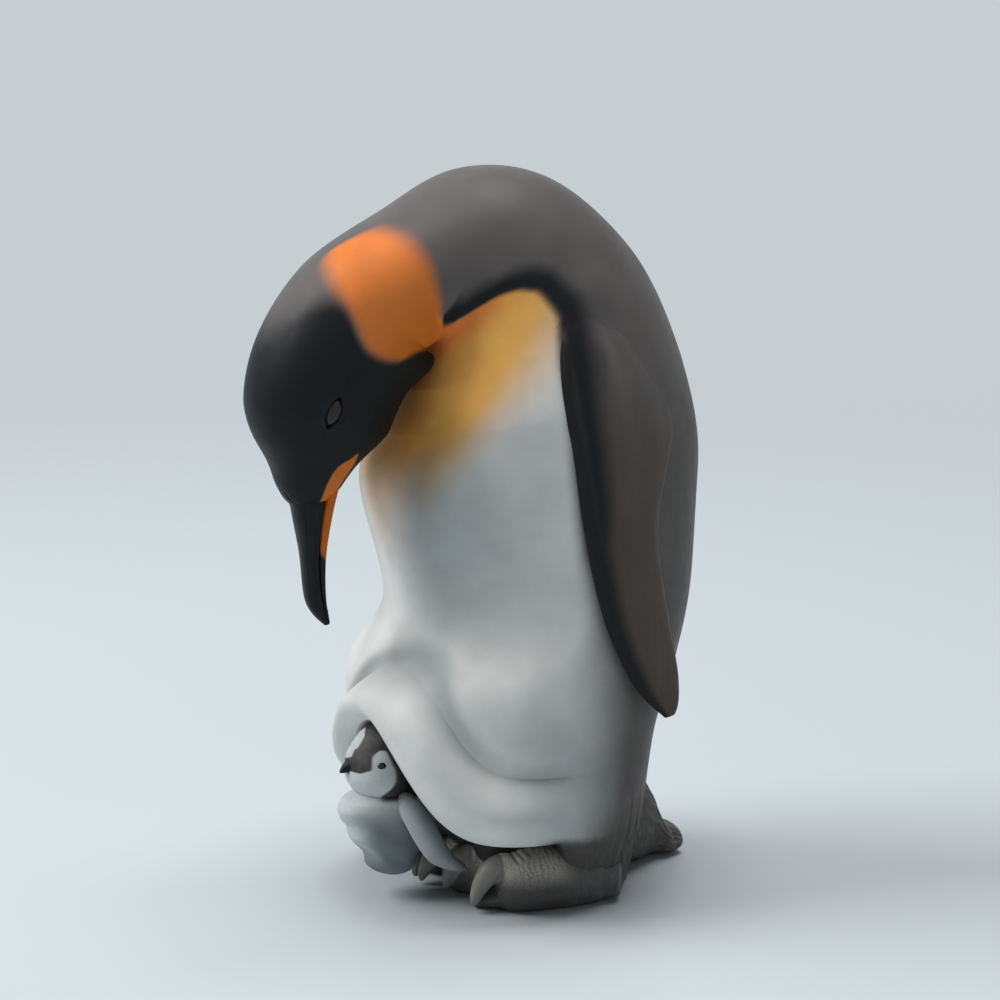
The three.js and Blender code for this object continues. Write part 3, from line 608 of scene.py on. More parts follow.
# Sculpted over the plain form: the sag of the belly, the bulge of the back behind the flipper,
# the shoulder, and the feathers on the legs. A press has its spot, its reach and its push
SAG_UP, SAG_HOLLOW_UP, SAG_DEPTH, SAG_SPREAD = 38, 54, 1.3, 7.5
SAG_HOLLOW_SHARE = 0.8
SAG_TURNS = ((12, 34), (92, 70))
BACK_BULGE = ((13, -29, 76), (7, 7, 12), (0.6, -0.5, 0))
SHOULDER = ((19.3, -6, 99.4), (3.6, 3.6, 3.6), (1, 0, 0.5))
LEG_FEATHERS = ((24, 8), (84, 104))
STROKE_DEPTH, STROKES_ROUND = 0.22, 22
outwards = torso_points[..., :2] - (0, BODY_AXIS)
outwards /= np.maximum(np.linalg.norm(outwards, axis=-1, keepdims=True), 1)
sag = bell(torso_points[..., 2], SAG_UP, SAG_SPREAD)
sag -= SAG_HOLLOW_SHARE * bell(torso_points[..., 2], SAG_HOLLOW_UP, SAG_SPREAD)
sag *= SAG_DEPTH * window(torso_front, *SAG_TURNS)
sag[:len(under_points)] = 0
torso_points[..., :2] += outwards * sag[..., None]
torso_points = press(press(torso_points, *BACK_BULGE), *SHOULDER)
torso_up = torso_points[..., 2]


def low_round(heights, turns):
    """1 on the torso below one height and beyond one turn, with soft edges."""
    return smooth(*heights, torso_up) * smooth(*turns, torso_front)


leg_mask = low_round(*LEG_FEATHERS)
leg_strokes = STROKE_DEPTH * leg_mask * strokes(np.radians(torso_front) * STROKES_ROUND, torso_up)
leg_strokes[:len(under_points)] = 0
torso_points[..., :2] += outwards * leg_strokes[..., None]

# Painted over the form: grey painted shade in the crease and low on the belly, most on the flanks, dark
# legs, and a black pocket that is partly painted shade under the hem
CREASE_PAINTED_SHADE, CREASE_RISE, CREASE_SPREAD, CREASE_TURNS = 0.62, 1.15, 0.26, (88, 36)
BELLY_PAINTED_SHADE, BELLY_TURNS, BELLY_HEIGHTS = (0.14, 0.6), (58, 86), (46, 24)
LEG_PAINT = (((20, 9), (80, 108)), ((15, 12.4), (76, 86)))
LEG_BLACK, POCKET_BLACK = 0.42, 0.8
torso_masks = plumage_masks(torso_at, torso_front, torso_front)
crease_rise = (torso_up - hem) / (crease - hem)
crease_painted_shade = CREASE_PAINTED_SHADE * bell(crease_rise, CREASE_RISE, CREASE_SPREAD)
crease_painted_shade = crease_painted_shade * smooth(*CREASE_TURNS, torso_front)
low_belly_painted_shade = lerp(*BELLY_PAINTED_SHADE, smooth(*BELLY_TURNS, torso_front)) * smooth(*BELLY_HEIGHTS, torso_up)
leg_paint = np.maximum(*(low_round(*stretches) for stretches in LEG_PAINT))
torso_masks["wash"] = np.maximum.reduce([torso_masks["wash"], crease_painted_shade, low_belly_painted_shade])
torso_masks["legs"] = leg_mask
torso_masks["dark"] = np.maximum(torso_masks["dark"], leg_paint)
torso_masks["black"] = np.maximum(torso_masks["black"], LEG_BLACK * leg_paint)
torso_masks["dark"][:POCKET_ROWS] = 1
torso_masks["black"][:POCKET_ROWS] = POCKET_BLACK
add_rings("torso_casting", torso_points, plumage, "white_plumage", torso_masks, "torso")

# Head
# A separate casting of the bowed neck and head, glued to the torso over a brass dowel.
# Its joint is filled and sanded flush, so that the paint runs over it unbroken.
HEAD_ROWS, HEAD_SIDES = 240, 320
EYE_AT, EYE_TURN = 12.8, 98.5
EYE_LONG_WAY = (0.24, -0.3, 0.923)
EYE_HALF_LENGTH, EYE_HALF_HEIGHT = 2.6, 0.95
EYE_ROWS, EYE_SIDES = (0.35, 2.5), (13, 2)


def crowded(start, end, count, spots, spread, extra):
    """Places from start to end that crowd together round some spots."""
    fine = np.linspace(start, end, 6000)
    density = 1 + sum(extra * bell(fine, spot, spread) for spot in spots)
    total = np.cumsum(density)
    return np.interp(np.linspace(0, 1, count), (total - total[0]) / (total[-1] - total[0]), fine)


head_rows = crowded(NECK_SEAM, BILL_ROOT, HEAD_ROWS, [EYE_AT], *EYE_ROWS)
head_turn = crowded(0, 360, HEAD_SIDES + 1, [EYE_TURN, 360 - EYE_TURN], *EYE_SIDES)[:-1]
head_at, head_turn = np.meshgrid(head_rows, head_turn, indexing="ij")
head_front = turned_from(head_turn)
head_points = body_skin(head_at, head_turn)

# Sculpted: the jowl that tucks in against the breast, the throat, the brow, and the half-closed lids
JOWL = ((7.8, 18.8, 88.6), (4.6, 4.8, 3.3), (1.2, -3.6, 0))
THROAT = ((9, 17, 93), (3.6, 3.2, 2.8), (0.8, -0.5, -1.2))
BROW = ((0, 41.5, 73), (9, 4, 4), (0, -0.9, 0))
JOWL_START = (10.4, 11)
LID_MOUND, LID_MOUND_LENGTH, LID_MOUND_HEIGHT = 0.65, 3.2, 2.2
LID_OPENING, SOCKET_DEPTH = (0.22, -0.3), 1.5
LID_RIM, LID_RIM_OUT, LID_RIM_SPREAD = 0.22, 0.5, 0.35
LID_CREASE, LID_CREASE_ALONG, LID_CREASE_ACROSS = 0.16, (5.2, 1.8), (0.3, 0.3)
jowl, throat = press(head_points, *JOWL), press(head_points, *THROAT)
head_points = lerp(throat, jowl, smooth(*JOWL_START, head_at)[..., None])
head_points = press(head_points, *BROW)
eye_place = body_skin(np.array(EYE_AT), np.array(EYE_TURN))
eye_long = np.array(EYE_LONG_WAY)
eye_out = body_skin(np.array(EYE_AT), np.array(EYE_TURN), 1.0) - eye_place
eye_out = unit(eye_out - eye_long * (eye_out @ eye_long))
from_eye = head_points * to_left(head_points) - eye_place
along_eye, across_eye = from_eye @ eye_long, from_eye @ np.cross(eye_out, eye_long)
lid_edge = EYE_HALF_HEIGHT * np.clip(1 - (along_eye / EYE_HALF_LENGTH) ** 2, 0, None)
from_lid = (np.abs(across_eye) - lid_edge) / EYE_HALF_HEIGHT
mound = LID_MOUND * bell(along_eye, 0, LID_MOUND_LENGTH) * bell(across_eye, 0, LID_MOUND_HEIGHT)
opening = smooth(*LID_OPENING, from_lid) * (np.abs(along_eye) < EYE_HALF_LENGTH)
rim = LID_RIM * bell(from_lid, LID_RIM_OUT, LID_RIM_SPREAD) * np.exp(-((along_eye / EYE_HALF_LENGTH) ** 4))
lid_crease = LID_CREASE * bell(along_eye, *LID_CREASE_ALONG) * bell(across_eye, *LID_CREASE_ACROSS)
eye_push = (mound + rim - lid_crease - SOCKET_DEPTH * opening)[..., None] * eye_out
head_points = head_points + eye_push * to_left(head_points)

# The feathers end in a point on each side of the bill, and the head dips under the bill's surface there
FEATHER_ENDS = [
    (14.4, 164), (14.66, 158), (14.88, 146), (14.94, 136), (14.92, 118), (14.86, 106), (14.66, 96),
]
BILL_SIDE = 14
FEATHER_GROOVE, FEATHER_GROOVE_WIDTH = 0.16, 0.28
HEAD_DIP, HEAD_DIP_RIBS = 0.4, (14.6, 15)
feather_edge = body_skin(*rail(FEATHER_ENDS, np.linspace(0, len(FEATHER_ENDS) - 1, 90)).T)
near_bill = head_at > BILL_SIDE
beside_bill = (head_points * to_left(head_points))[near_bill]
to_edge = np.linalg.norm(beside_bill[:, None] - feather_edge, axis=-1).min(1)
sink = HEAD_DIP * smooth(*HEAD_DIP_RIBS, head_at)
sink[near_bill] += FEATHER_GROOVE * bell(to_edge, 0, FEATHER_GROOVE_WIDTH)
to_middle = unit(rail_ribs(body_ovals, head_at)[0] - head_points)
head_points = head_points + to_middle * sink[..., None]

# The top of the lower bill's orange plate runs up over the corner of the mouth
plate_top = profile((13.5, 62), (13.62, 66), (13.98, 84), (14.5, 88), (15, 90))
plate_foot = profile((13.5, 62), (13.66, 58.5), (14.04, 52.5), (14.7, 54), (15, 56))
PLATE_SOFTNESS, PLATE_START = 3, (13.5, 13.6)
FAR_EAR_SET_BACK = 18
inside_plate = np.minimum(plate_top(head_at) - head_front, head_front - plate_foot(head_at))
plate = soft_edge(PLATE_SOFTNESS, inside_plate) * smooth(*PLATE_START, head_at)
ear_turn = head_front + FAR_EAR_SET_BACK * (head_turn > 180)
head_masks = plumage_masks(head_at, head_front, ear_turn)
head_masks["black"] *= 1 - plate
head_masks["deep"] = np.maximum(head_masks["deep"], plate)
head_masks["orange"] = np.maximum(head_masks["orange"] * (1 - plate), plate)
add_rings("head_casting", head_points, plumage, "hood_black", head_masks, "head")

# Eyes
# Glass-bright beads of black resin, cast apart from the head.
# They are pressed into their sockets under the lids and varnished.
EYE_BEAD = (2.5, 1.6, 1.7)
EYE_SUNK = 0.95
EYE_FLECKS = (2400, 3)
EYE_BLACK, EYE_BROWN = paint("#0d0c0c"), paint("#2b2523")
EYE_ROUGHNESS, EYE_SPECULAR = 0.24, 0.34


def eye_finish():
    material, tree, shader = new_finish("varnished_eye")
    flecked = mixed(tree, noise(tree, *EYE_FLECKS), EYE_BLACK, EYE_BROWN)
    fill(tree, shader, {
        "Base Color": flecked, "Roughness": EYE_ROUGHNESS, "Specular IOR Level": EYE_SPECULAR,
    })
    return material


def bead(middle, long_way, out_way, half_sizes, rows=40, sides=48):
    """A bead shaped as an ellipsoid, with half its length, height and depth given."""
    half_length, half_height, half_depth = half_sizes
    polar = np.radians(np.linspace(1, 179, rows))[:, None]
    round_way = np.radians(turns_round(sides))
    long = np.cos(polar) * half_length + 0 * round_way
    return (
        middle
        + long[..., None] * long_way
        + (np.sin(polar) * np.cos(round_way) * half_depth)[..., None] * out_way
        + (np.sin(polar) * np.sin(round_way) * half_height)[..., None] * np.cross(out_way, long_way)
    )


BOTH_SIDES = ((1, "_left"), (-1, "_right"))


def add_pair(name, kind, rings, material, slot, masks):
    """A piece on the left and its mirror image on the right."""
    for side, hand in BOTH_SIDES:
        add_rings(name + hand + kind, rings * (side, 1, 1), material, slot, masks, name + hand)


varnished_eye = eye_finish()
eye_bead = bead(eye_place - EYE_SUNK * eye_out, eye_long, eye_out, EYE_BEAD)
add_pair("eye", "_bead", eye_bead, varnished_eye, "eye_black", {})

# Bill
# Two slim castings, the upper and the lower half, let into the front of the head.
# Both are sprayed black and varnished, and the lower one has an orange plate down each side.
BILL_RIDGE = [(38, 70.5), (36.5, 66), (35.2, 58.3), (34.5, 51.2), (33.1, 48.6), (31.4, 46.9)]
BILL_MOUTH = [(29.5, 73), (31.8, 67), (32.6, 59.3), (32.3, 53), (31.6, 49.4), (30.8, 47)]
BILL_UNDERSIDE = [(29, 71), (30.4, 64.3), (31.3, 57.8), (31.3, 51.5), (30.9, 49), (30.5, 47.4)]
BILL_WIDTHS = [6.6, 5.6, 3.9, 3, 2.3, 1]
BILL_SQUARENESS, MOUTH_TURNS = (2.2, 6), (110, 60)
PLATE_END = (2.15, 1.95)
HORN_BLACK, LIT_HORN, PLATE_PAINT, PLATE_SPECKLE = paint("#121517"), paint("#1f2225"), paint("#c66a1c"), 0.2
HORN_SKIN, HORN_BUMP, HORN_SPECULAR, HORN_FINENESS = (0.42, 0.5), (0.05, 0.6), 0.16, 1600


def grid_over(ribs, rows, sides):
    """Places along a row of ribs and turns round them, for rings over the ribs."""
    return np.meshgrid(np.linspace(0, len(ribs) - 1, rows), turns_round(sides), indexing="ij")


def bill_half(upper_line, lower_line, mouth_turn, rows=130, sides=64):
    """Half a bill between two lines [forward, up]: rounded outside, and squarer along the mouth."""
    ribs = [section_between(*rib) for rib in zip(upper_line, lower_line, BILL_WIDTHS)]
    at, turn = grid_over(ribs, rows, sides)
    squareness = lerp(*BILL_SQUARENESS, smooth(*MOUTH_TURNS, turned_from(turn, mouth_turn)))
    return oval(*rail_ribs(ribs, at), turn, 0, squareness), at


def bill_finish(name, plate):
    """Varnished horn with fine lines along it; the plate mask turns it orange."""
    material, tree, shader = new_finish(name)
    drawn = place_effect(tree, feather_strokes, {"Amount": 1, "Fineness": HORN_FINENESS})
    horn = mixed(tree, drawn["Light"], HORN_BLACK, LIT_HORN)
    if plate:
        horn = mixed(tree, mask_of(tree, "plate", PLATE_SPECKLE), horn, PLATE_PAINT)
    coat(tree, shader, horn, *HORN_SKIN)
    lined = bump(tree, drawn["Height"], *HORN_BUMP)
    fill(tree, shader, {"Specular IOR Level": HORN_SPECULAR, "Normal": lined})
    return material


upper_points, _ = bill_half(BILL_RIDGE, BILL_MOUTH, 180)
add_rings(
    "upper_bill_casting", upper_points, bill_finish("upper_horn", False), "bill_black", {}, "upper_bill"
)
lower_points, lower_at = bill_half(BILL_MOUTH, BILL_UNDERSIDE, 0)
add_rings(
    "lower_bill_casting", lower_points, bill_finish("lower_horn", True), "bill_orange",
    {"plate": smooth(*PLATE_END, lower_at)}, "lower_bill",
)

# Flippers
# Two long thin castings, doweled and glued to the shoulders, with filler feathered over each root.
# They hang free of the flank lower down.

# Leading edge and trailing edge [forward, up, left] and thickness of each rib
FLIPPER_RIBS = [
    ((-2, 98.5, 21), (-7.5, 97.5, 20.6), 2.4),
    ((0.2, 92.8, 22.6), (-12.5, 90, 21.8), 3.8),
    ((0.9, 85, 24.2), (-16.8, 81.5, 22.4), 4.6),
    ((0.2, 77.5, 25.2), (-17, 73.6, 23.4), 4.8),
    ((-1.2, 65, 25.9), (-15.3, 61.5, 24.6), 4.4),
    ((-4.7, 49.3, 26.6), (-17.8, 47.1, 24.4), 3.6),
    ((-10.2, 38, 26.9), (-19.3, 38.8, 24.8), 2.6),
    ((-13.4, 34.4, 26.8), (-19.2, 35, 25.3), 2),
    ((-15.2, 32.9, 26.6), (-18.7, 33.4, 25.7), 1.6),
    ((-16, 32.2, 26.4), (-18.2, 32.5, 25.9), 0.9),
]
ROOT_FEATHERED = (3.7, 2)
ROOT_SPREAD, ROOT_LEAD_SPREAD = 0.35, 0.08
KEEL, KEEL_ACROSS, KEEL_RIBS = 0.18, (0.1, 0.3), ((2.5, 4.5), (7, 6))
RIDGE, RIDGE_ACROSS, RIDGE_WAVES, RIDGE_RIBS = 0.45, 0.15, 6.2, (4.5, 2.5)
FILLER_RADIUS, FILLER_START = 1.4, (0, 1.2)
BURIED, BURIED_RISE, BURIED_START = 0.35, (0.5, 0), (0.8, 0)


def flank(forward, up):
    """Place along the ribs, turn and half width of the body where its side view shows a point."""
    low, high = np.zeros_like(forward), np.full_like(forward, NECK_SEAM)
    for _ in range(30):
        at = (low + high) / 2
        middle, deep, wide = rail_ribs(body_ovals, at)
        away = np.stack([forward - middle[..., 1], up - middle[..., 2]], -1)
        above = deep[..., 1] * away[..., 1] > deep[..., 2] * away[..., 0]
        low, high = np.where(above, at, low), np.where(above, high, at)
    share = np.clip(np.sum(away * deep[..., 1:], -1) / np.sum(deep[..., 1:] ** 2, -1), -1, 1)
    turn = np.degrees(np.arccos(np.sign(share) * np.abs(share) ** (BODY_SQUARENESS / 2)))
    half_width = wide[..., 0] * np.sin(np.radians(turn)) ** (2 / BODY_SQUARENESS)
    return at, turn, half_width


def flipper_rings(rows=200, sides=128):
    """Rings of the left flipper, how far along it each is, and the place across, 1 at the leading edge."""
    along, turn = grid_over(FLIPPER_RIBS, rows, sides)
    lead, trail = (rail([rib[edge] for rib in FLIPPER_RIBS], along) for edge in (0, 1))
    thick = rail([(rib[2],) for rib in FLIPPER_RIBS], along)[..., 0]
    feathered = smooth(*ROOT_FEATHERED, along)
    across = np.cos(np.radians(turn))
    across = across * (1 + np.where(across < 0, ROOT_SPREAD, ROOT_LEAD_SPREAD) * feathered)
    rise = np.sin(np.radians(turn))
    spot = (lead + trail) / 2 + (lead - trail) / 2 * across[..., None]
    at, flank_turn, half_width = flank(spot[..., 0], spot[..., 1])
    keel = KEEL * bell(across, *KEEL_ACROSS) * window(along, *KEEL_RIBS)
    ridges = RIDGE * np.cos((across - RIDGE_ACROSS) * RIDGE_WAVES) * np.clip(1 - across ** 2, 0, 1)
    ridges = ridges * smooth(*RIDGE_RIBS, along)
    blade = spot[..., 2] + thick / 2 * rise + np.clip(rise, 0, 1) ** 2 * (keel + ridges)
    proud = spot[..., 2] + thick / 2 * (1 - across ** 2) + ridges - half_width
    filled = (proud + np.sqrt(proud ** 2 + FILLER_RADIUS ** 2)) / 2 - BURIED
    filled = filled * smooth(*FILLER_START, along) * smooth(0, 0.5, rise)
    sunk = BURIED * np.maximum(smooth(*BURIED_RISE, rise), smooth(*BURIED_START, along))
    root = half_width + np.where(rise > 0, filled, rise) - sunk
    left = lerp(blade, root, feathered)
    return np.stack([left, spot[..., 0], spot[..., 1]], -1), at, flank_turn, along, across


BLADE_START, HANGING, UMBER_START, ROOT_BLACK_START = (0.3, 1.1), (2.4, 4.6), (1.2, 4.4), (0.8, 2.4)
# The leading edge is painted black: near the shoulder it carries on the body's black band, and lower down
# it is partly painted shade on the rounded edge.
LEAD_BORDER, LEAD_BORDER_HANGING = (0.5, 0.95), (0.25, 0.75)
LEAD_BLACK, BLADE_BLACK, BLADE_STROKES = 0.97, 0.12, 0.15
flipper_points, flipper_at, flipper_turn, flipper_along, flipper_across = flipper_rings()
flipper_points = press(flipper_points, *SHOULDER)
flipper_masks = plumage_masks(flipper_at, flipper_turn, flipper_turn)
on_blade = smooth(*BLADE_START, flipper_along)
hanging = smooth(*HANGING, flipper_along)
lead_border = (lerp(*ends, hanging) for ends in zip(LEAD_BORDER, LEAD_BORDER_HANGING))
blade_black = BLADE_BLACK * smooth(*ROOT_BLACK_START, flipper_along)
blade_black = on_blade * lerp(blade_black, LEAD_BLACK, smooth(*lead_border, flipper_across))
flipper_masks["dark"] = np.maximum(flipper_masks["dark"], on_blade)
flipper_masks["black"] = np.maximum(flipper_masks["black"], blade_black)
flipper_masks["orange"] *= 0
flipper_masks["umber"] = smooth(*UMBER_START, flipper_along)
flipper_masks["legs"] = BLADE_STROKES * on_blade
add_pair("flipper", "_casting", flipper_points, plumage, "back_grey", flipper_masks)

# Tail
# A short stub of stiff feathers, cast apart in resin and painted like the back.
# It is doweled to the back of the legs and rests on the table.

# Middle [forward, up], thickness and width of each rib
TAIL_RIBS = [
    ((-20, 7.6), 16, 21),
    ((-24, 7.6), 16.4, 17),
    ((-27, 6.7), 13.8, 13),
    ((-28.6, 5), 9.8, 11.6),
    ((-29.8, 3.6), 7, 11.4),
    ((-31, 2.9), 5.7, 11.2),
    ((-32.8, 2.5), 4.9, 9.6),
    ((-33.8, 2.3), 3.9, 7.4),
    ((-34.15, 2.2), 2, 4),
]
SCOOP = ((4.4, -31.8, 3.2), (1.5, 1.3, 1.3), (-1.5, 0.3, 0))
TAIL_STROKES, TAIL_STROKES_ROUND, TAIL_STROKES_ALONG = 0.03, 0.16, 6
TAIL_BLACK, TAIL_BLACK_RIBS = 0.3, (5.2, 3.2)


def level_ribs(ribs):
    """Sections that stand upright across the run of a piece: middle [forward, up], thickness and width."""
    return [((0, *middle), (0, 0, thick / 2), (width / 2, 0, 0)) for middle, thick, width in ribs]


def loft(ribs, rows, sides, squareness=2.0):
    at, turn = grid_over(ribs, rows, sides)
    return oval(*rail_ribs(ribs, at), turn, 0, squareness), at, turn


def on_table(points):
    """Rests a piece flat on the table."""
    return np.concatenate([points[..., :2], np.maximum(points[..., 2:], 0)], -1)


tail_points, tail_at, tail_turn = loft(level_ribs(TAIL_RIBS), 110, 120)
tail_out = tail_points - rail_ribs(level_ribs(TAIL_RIBS), tail_at)[0]
tail_strokes = TAIL_STROKES * strokes(tail_turn * TAIL_STROKES_ROUND, tail_at * TAIL_STROKES_ALONG)
tail_points = on_table(press(tail_points + tail_out * tail_strokes[..., None], *SCOOP))
tail_masks = dict.fromkeys(("gold", "orange", "deep", "wash", "umber"), 0 * tail_at)
tail_masks.update(dict.fromkeys(("dark", "legs"), 0 * tail_at + 1))
tail_masks["black"] = TAIL_BLACK * smooth(*TAIL_BLACK_RIBS, tail_at)
add_rings("tail_casting", tail_points, plumage, "back_grey", tail_masks, "tail")

# Feet
# Two castings of three fleshy toes each, with blunt claws, doweled up into the legs.
# Wrinkles are cut across the toes, and the tops of the toes carry a painted highlight, dry-brushed over the
# dark skin.
HEEL = (-9, 16.9)
CLAW_TIPS = [(12.1, 14.2), (12.5, 4.6), (14.4, -0.6)]
RIGHT_FOOT_SHIFT = 3.5
TOE_WIDTH, TOE_HEIGHT, TOE_SQUARENESS = 10.4, 10.4, 2.1
CLAW_OVERHANG = 3.8
FOOT_VOXEL, FOOT_EASING = 0.17, 3

# Sections along a toe: run as a share of the toe, then height, tallness and width as shares of its own
TOE_SECTIONS = [
    (-0.16, 0.34, 0.5, 0.48), (0.06, 0.44, 0.94, 0.92), (0.4, 0.46, 1.04, 1), (0.75, 0.45, 0.98, 0.94),
    (0.92, 0.4, 0.76, 0.7), (1, 0.36, 0.4, 0.36),
]
# Sections along a claw: run as a share of its overhang, height, tallness, width and lean in degrees
CLAW_SECTIONS = [
    (-1.3, 0.7, 0.3, 0.3, 5), (-0.4, 0.74, 0.37, 0.36, 14), (0.25, 0.64, 0.36, 0.35, 36),
    (0.68, 0.44, 0.27, 0.26, 54), (0.92, 0.24, 0.17, 0.17, 68), (1, 0.13, 0.07, 0.07, 76),
]
# Sections along the pad under the toes, as shares of the middle toe's length
PAD_SECTIONS = [
    (-0.08, 0.3, 0.6, 0.5), (0.3, 0.32, 0.76, 1.6), (0.58, 0.24, 0.56, 1.65), (0.8, 0.13, 0.32, 1.3),
]


def foot_rib(heel, ahead, run, height, tall, wide, lean=0):
    """A section of a toe, claw or pad that leans back by some degrees."""
    lean = math.radians(lean)
    middle = heel + ahead * run + np.array((0, 0, height * TOE_HEIGHT))
    deep = (np.array((0, 0, math.cos(lean))) + ahead * math.sin(lean)) * tall * TOE_HEIGHT / 2
    across = np.array((-ahead[1], ahead[0], 0)) * wide * TOE_WIDTH / 2
    return middle, deep, across


def foot_lofts(shift):
    """Sections of the left foot's toes and pad, and of its claws, with each toe's line and length."""
    def spot(place):
        return np.array((place[1] + shift, place[0], 0.0))
    heel = spot(HEEL)
    flesh, claws, lines = [], [], []
    for tip in CLAW_TIPS:
        ahead = spot(tip) - heel
        length = np.linalg.norm(ahead)
        ahead /= length
        end = length - CLAW_OVERHANG
        flesh.append([foot_rib(heel, ahead, run * end, *rest) for run, *rest in TOE_SECTIONS])
        claws.append([
            foot_rib(heel, ahead, end + run * CLAW_OVERHANG, *rest) for run, *rest in CLAW_SECTIONS
        ])
        lines.append((heel, ahead, end))
    heel, ahead, end = lines[1]
    flesh.append([foot_rib(heel, ahead, run * (end + CLAW_OVERHANG), *rest) for run, *rest in PAD_SECTIONS])
    return flesh, claws, lines


def melt(solids, voxel):
    """One closed mesh round several overlapping ones, as points on the drawing and faces."""
    points, faces = [], []
    for solid_points, solid_faces in solids:
        base = sum(len(p) for p in points)
        points.append(solid_points)
        faces += [[corner + base for corner in face] for face in solid_faces]
    mesh = bpy.data.meshes.new("melt")
    mesh.from_pydata(np.vstack(points).tolist(), [], faces)
    lump = show("melt", mesh)
    remesh = lump.modifiers.new("melt", "REMESH")
    remesh.mode = "VOXEL"
    remesh.voxel_size = voxel
    fused = lump.evaluated_get(bpy.context.evaluated_depsgraph_get()).to_mesh()
    fused_points = np.array([v.co for v in fused.vertices])
    fused_faces = [list(face.vertices) for face in fused.polygons]
    bpy.data.objects.remove(lump)
    bpy.data.meshes.remove(mesh)
    return fused_points, fused_faces


def ease(points, faces, passes, share=0.5):
    """Evens out a mesh: each point moves towards the middle of its neighbours."""
    quads = np.array([face for face in faces if len(face) == 4])
    starts, ends = quads.ravel(), np.roll(quads, -1, 1).ravel()
    count = np.bincount(starts, minlength=len(points)) + np.bincount(ends, minlength=len(points))
    for _ in range(passes):
        total = np.zeros_like(points)
        np.add.at(total, starts, points[ends])
        np.add.at(total, ends, points[starts])
        points = points + share * (total / np.maximum(count, 1)[:, None] - points)
    return points


def near_loft(points, ribs):
    """How far points are from the middle line of a row of sections, in shares of their half width."""
    middle, _, wide = rail_ribs(ribs, np.linspace(0, len(ribs) - 1, 40))
    apart = np.linalg.norm(points[:, None] - middle, axis=-1) / np.linalg.norm(wide, axis=-1)
    return apart.min(1)


# Stretches of the masks on the feet: past a toe's end, aside from its line, or up from the table
CLAW_SHARES, CLAW_START = (1.35, 1.15), (-1, -0.3)
WRINKLES_BEHIND_END, WRINKLE_BEND, WRINKLE_WIDTH, WRINKLE = (2.7, 3.7, 4.9), 0.06, 0.2, 0.8
WRINKLE_ASIDE, WRINKLE_HEIGHTS = (3.4, 2), (3.5, 5.5)
FINE_WRINKLE, FINE_WAVE, FINE_ASIDE, FINE_HEIGHTS = 0.4, (0.35, 1), (5.6, 4.2), (3, 6)
FINE_RUN = ((-12, -8), (-1.5, -4))
# The painted highlight comes in over these heights up the toe.
HIGHLIGHT_HEIGHTS = (4, 9)
FEATHERS_FORWARD, FEATHERS_LEFT = (1, -4), (12, 14)
WRINKLE_DEPTH, FOOT_CORE = 0.22, (1, 1, 0.4)


def foot_masks(points, claws, lines, shift):
    """Masks over a left foot: its claws, the wrinkles across its toes, the painted highlight on its tops,
    and its feathers.
    """
    up = points[:, 2]
    claw, groove = np.zeros(len(points)), np.zeros(len(points))
    for ribs, (heel, ahead, end) in zip(claws, lines):
        past_end = (points - heel) @ ahead - end
        run = past_end + end
        aside = np.abs((points - heel) @ np.array((-ahead[1], ahead[0], 0)))
        horny = smooth(*CLAW_SHARES, near_loft(points, ribs)) * smooth(*CLAW_START, past_end)
        on_toe = smooth(*WRINKLE_ASIDE, aside) * smooth(*WRINKLE_HEIGHTS, up)
        bent = past_end + WRINKLE_BEND * aside ** 2
        deep = [WRINKLE * on_toe * bell(bent, -behind, WRINKLE_WIDTH) for behind in WRINKLES_BEHIND_END]
        wave = np.sin(run * 7.4 + 0.5 * aside + 1.4 * np.sin(run * 1.3 + aside * 1.9) + np.sin(aside * 3.1))
        fine = FINE_WRINKLE * smooth(*FINE_WAVE, wave) * smooth(*FINE_ASIDE, aside)
        fine = fine * window(past_end, *FINE_RUN) * smooth(*FINE_HEIGHTS, up)
        claw = np.maximum(claw, horny)
        groove = np.maximum.reduce([groove, *deep, fine])
    return {
        "claw": claw,
        "groove": groove * (1 - claw),
        "feathers": smooth(*FEATHERS_FORWARD, points[:, 1]) * smooth(*FEATHERS_LEFT, points[:, 0] - shift),
        "crown_highlight": smooth(*HIGHLIGHT_HEIGHTS, up) * (1 - claw),
    }


# Each pair holds the dark skin and its painted highlight, lighter on the tops of the toes.
SCALE_PAINTS, GAP_PAINTS = (paint("#42403e"), paint("#cfc9be")), (paint("#302e2d"), paint("#a09a90"))
CLAW_PAINT, GROOVE_PAINT = paint("#7b7872"), paint("#575450")
FOOT_FEATHERS = (paint("#474443"), paint("#52504e"))
SCALES_TO_METRE, SCALE_GAP, FOOT_SKIN, SCALE_BUMP = 2300, 0.14, (0.5, 0.7), (0.1, 0.6)


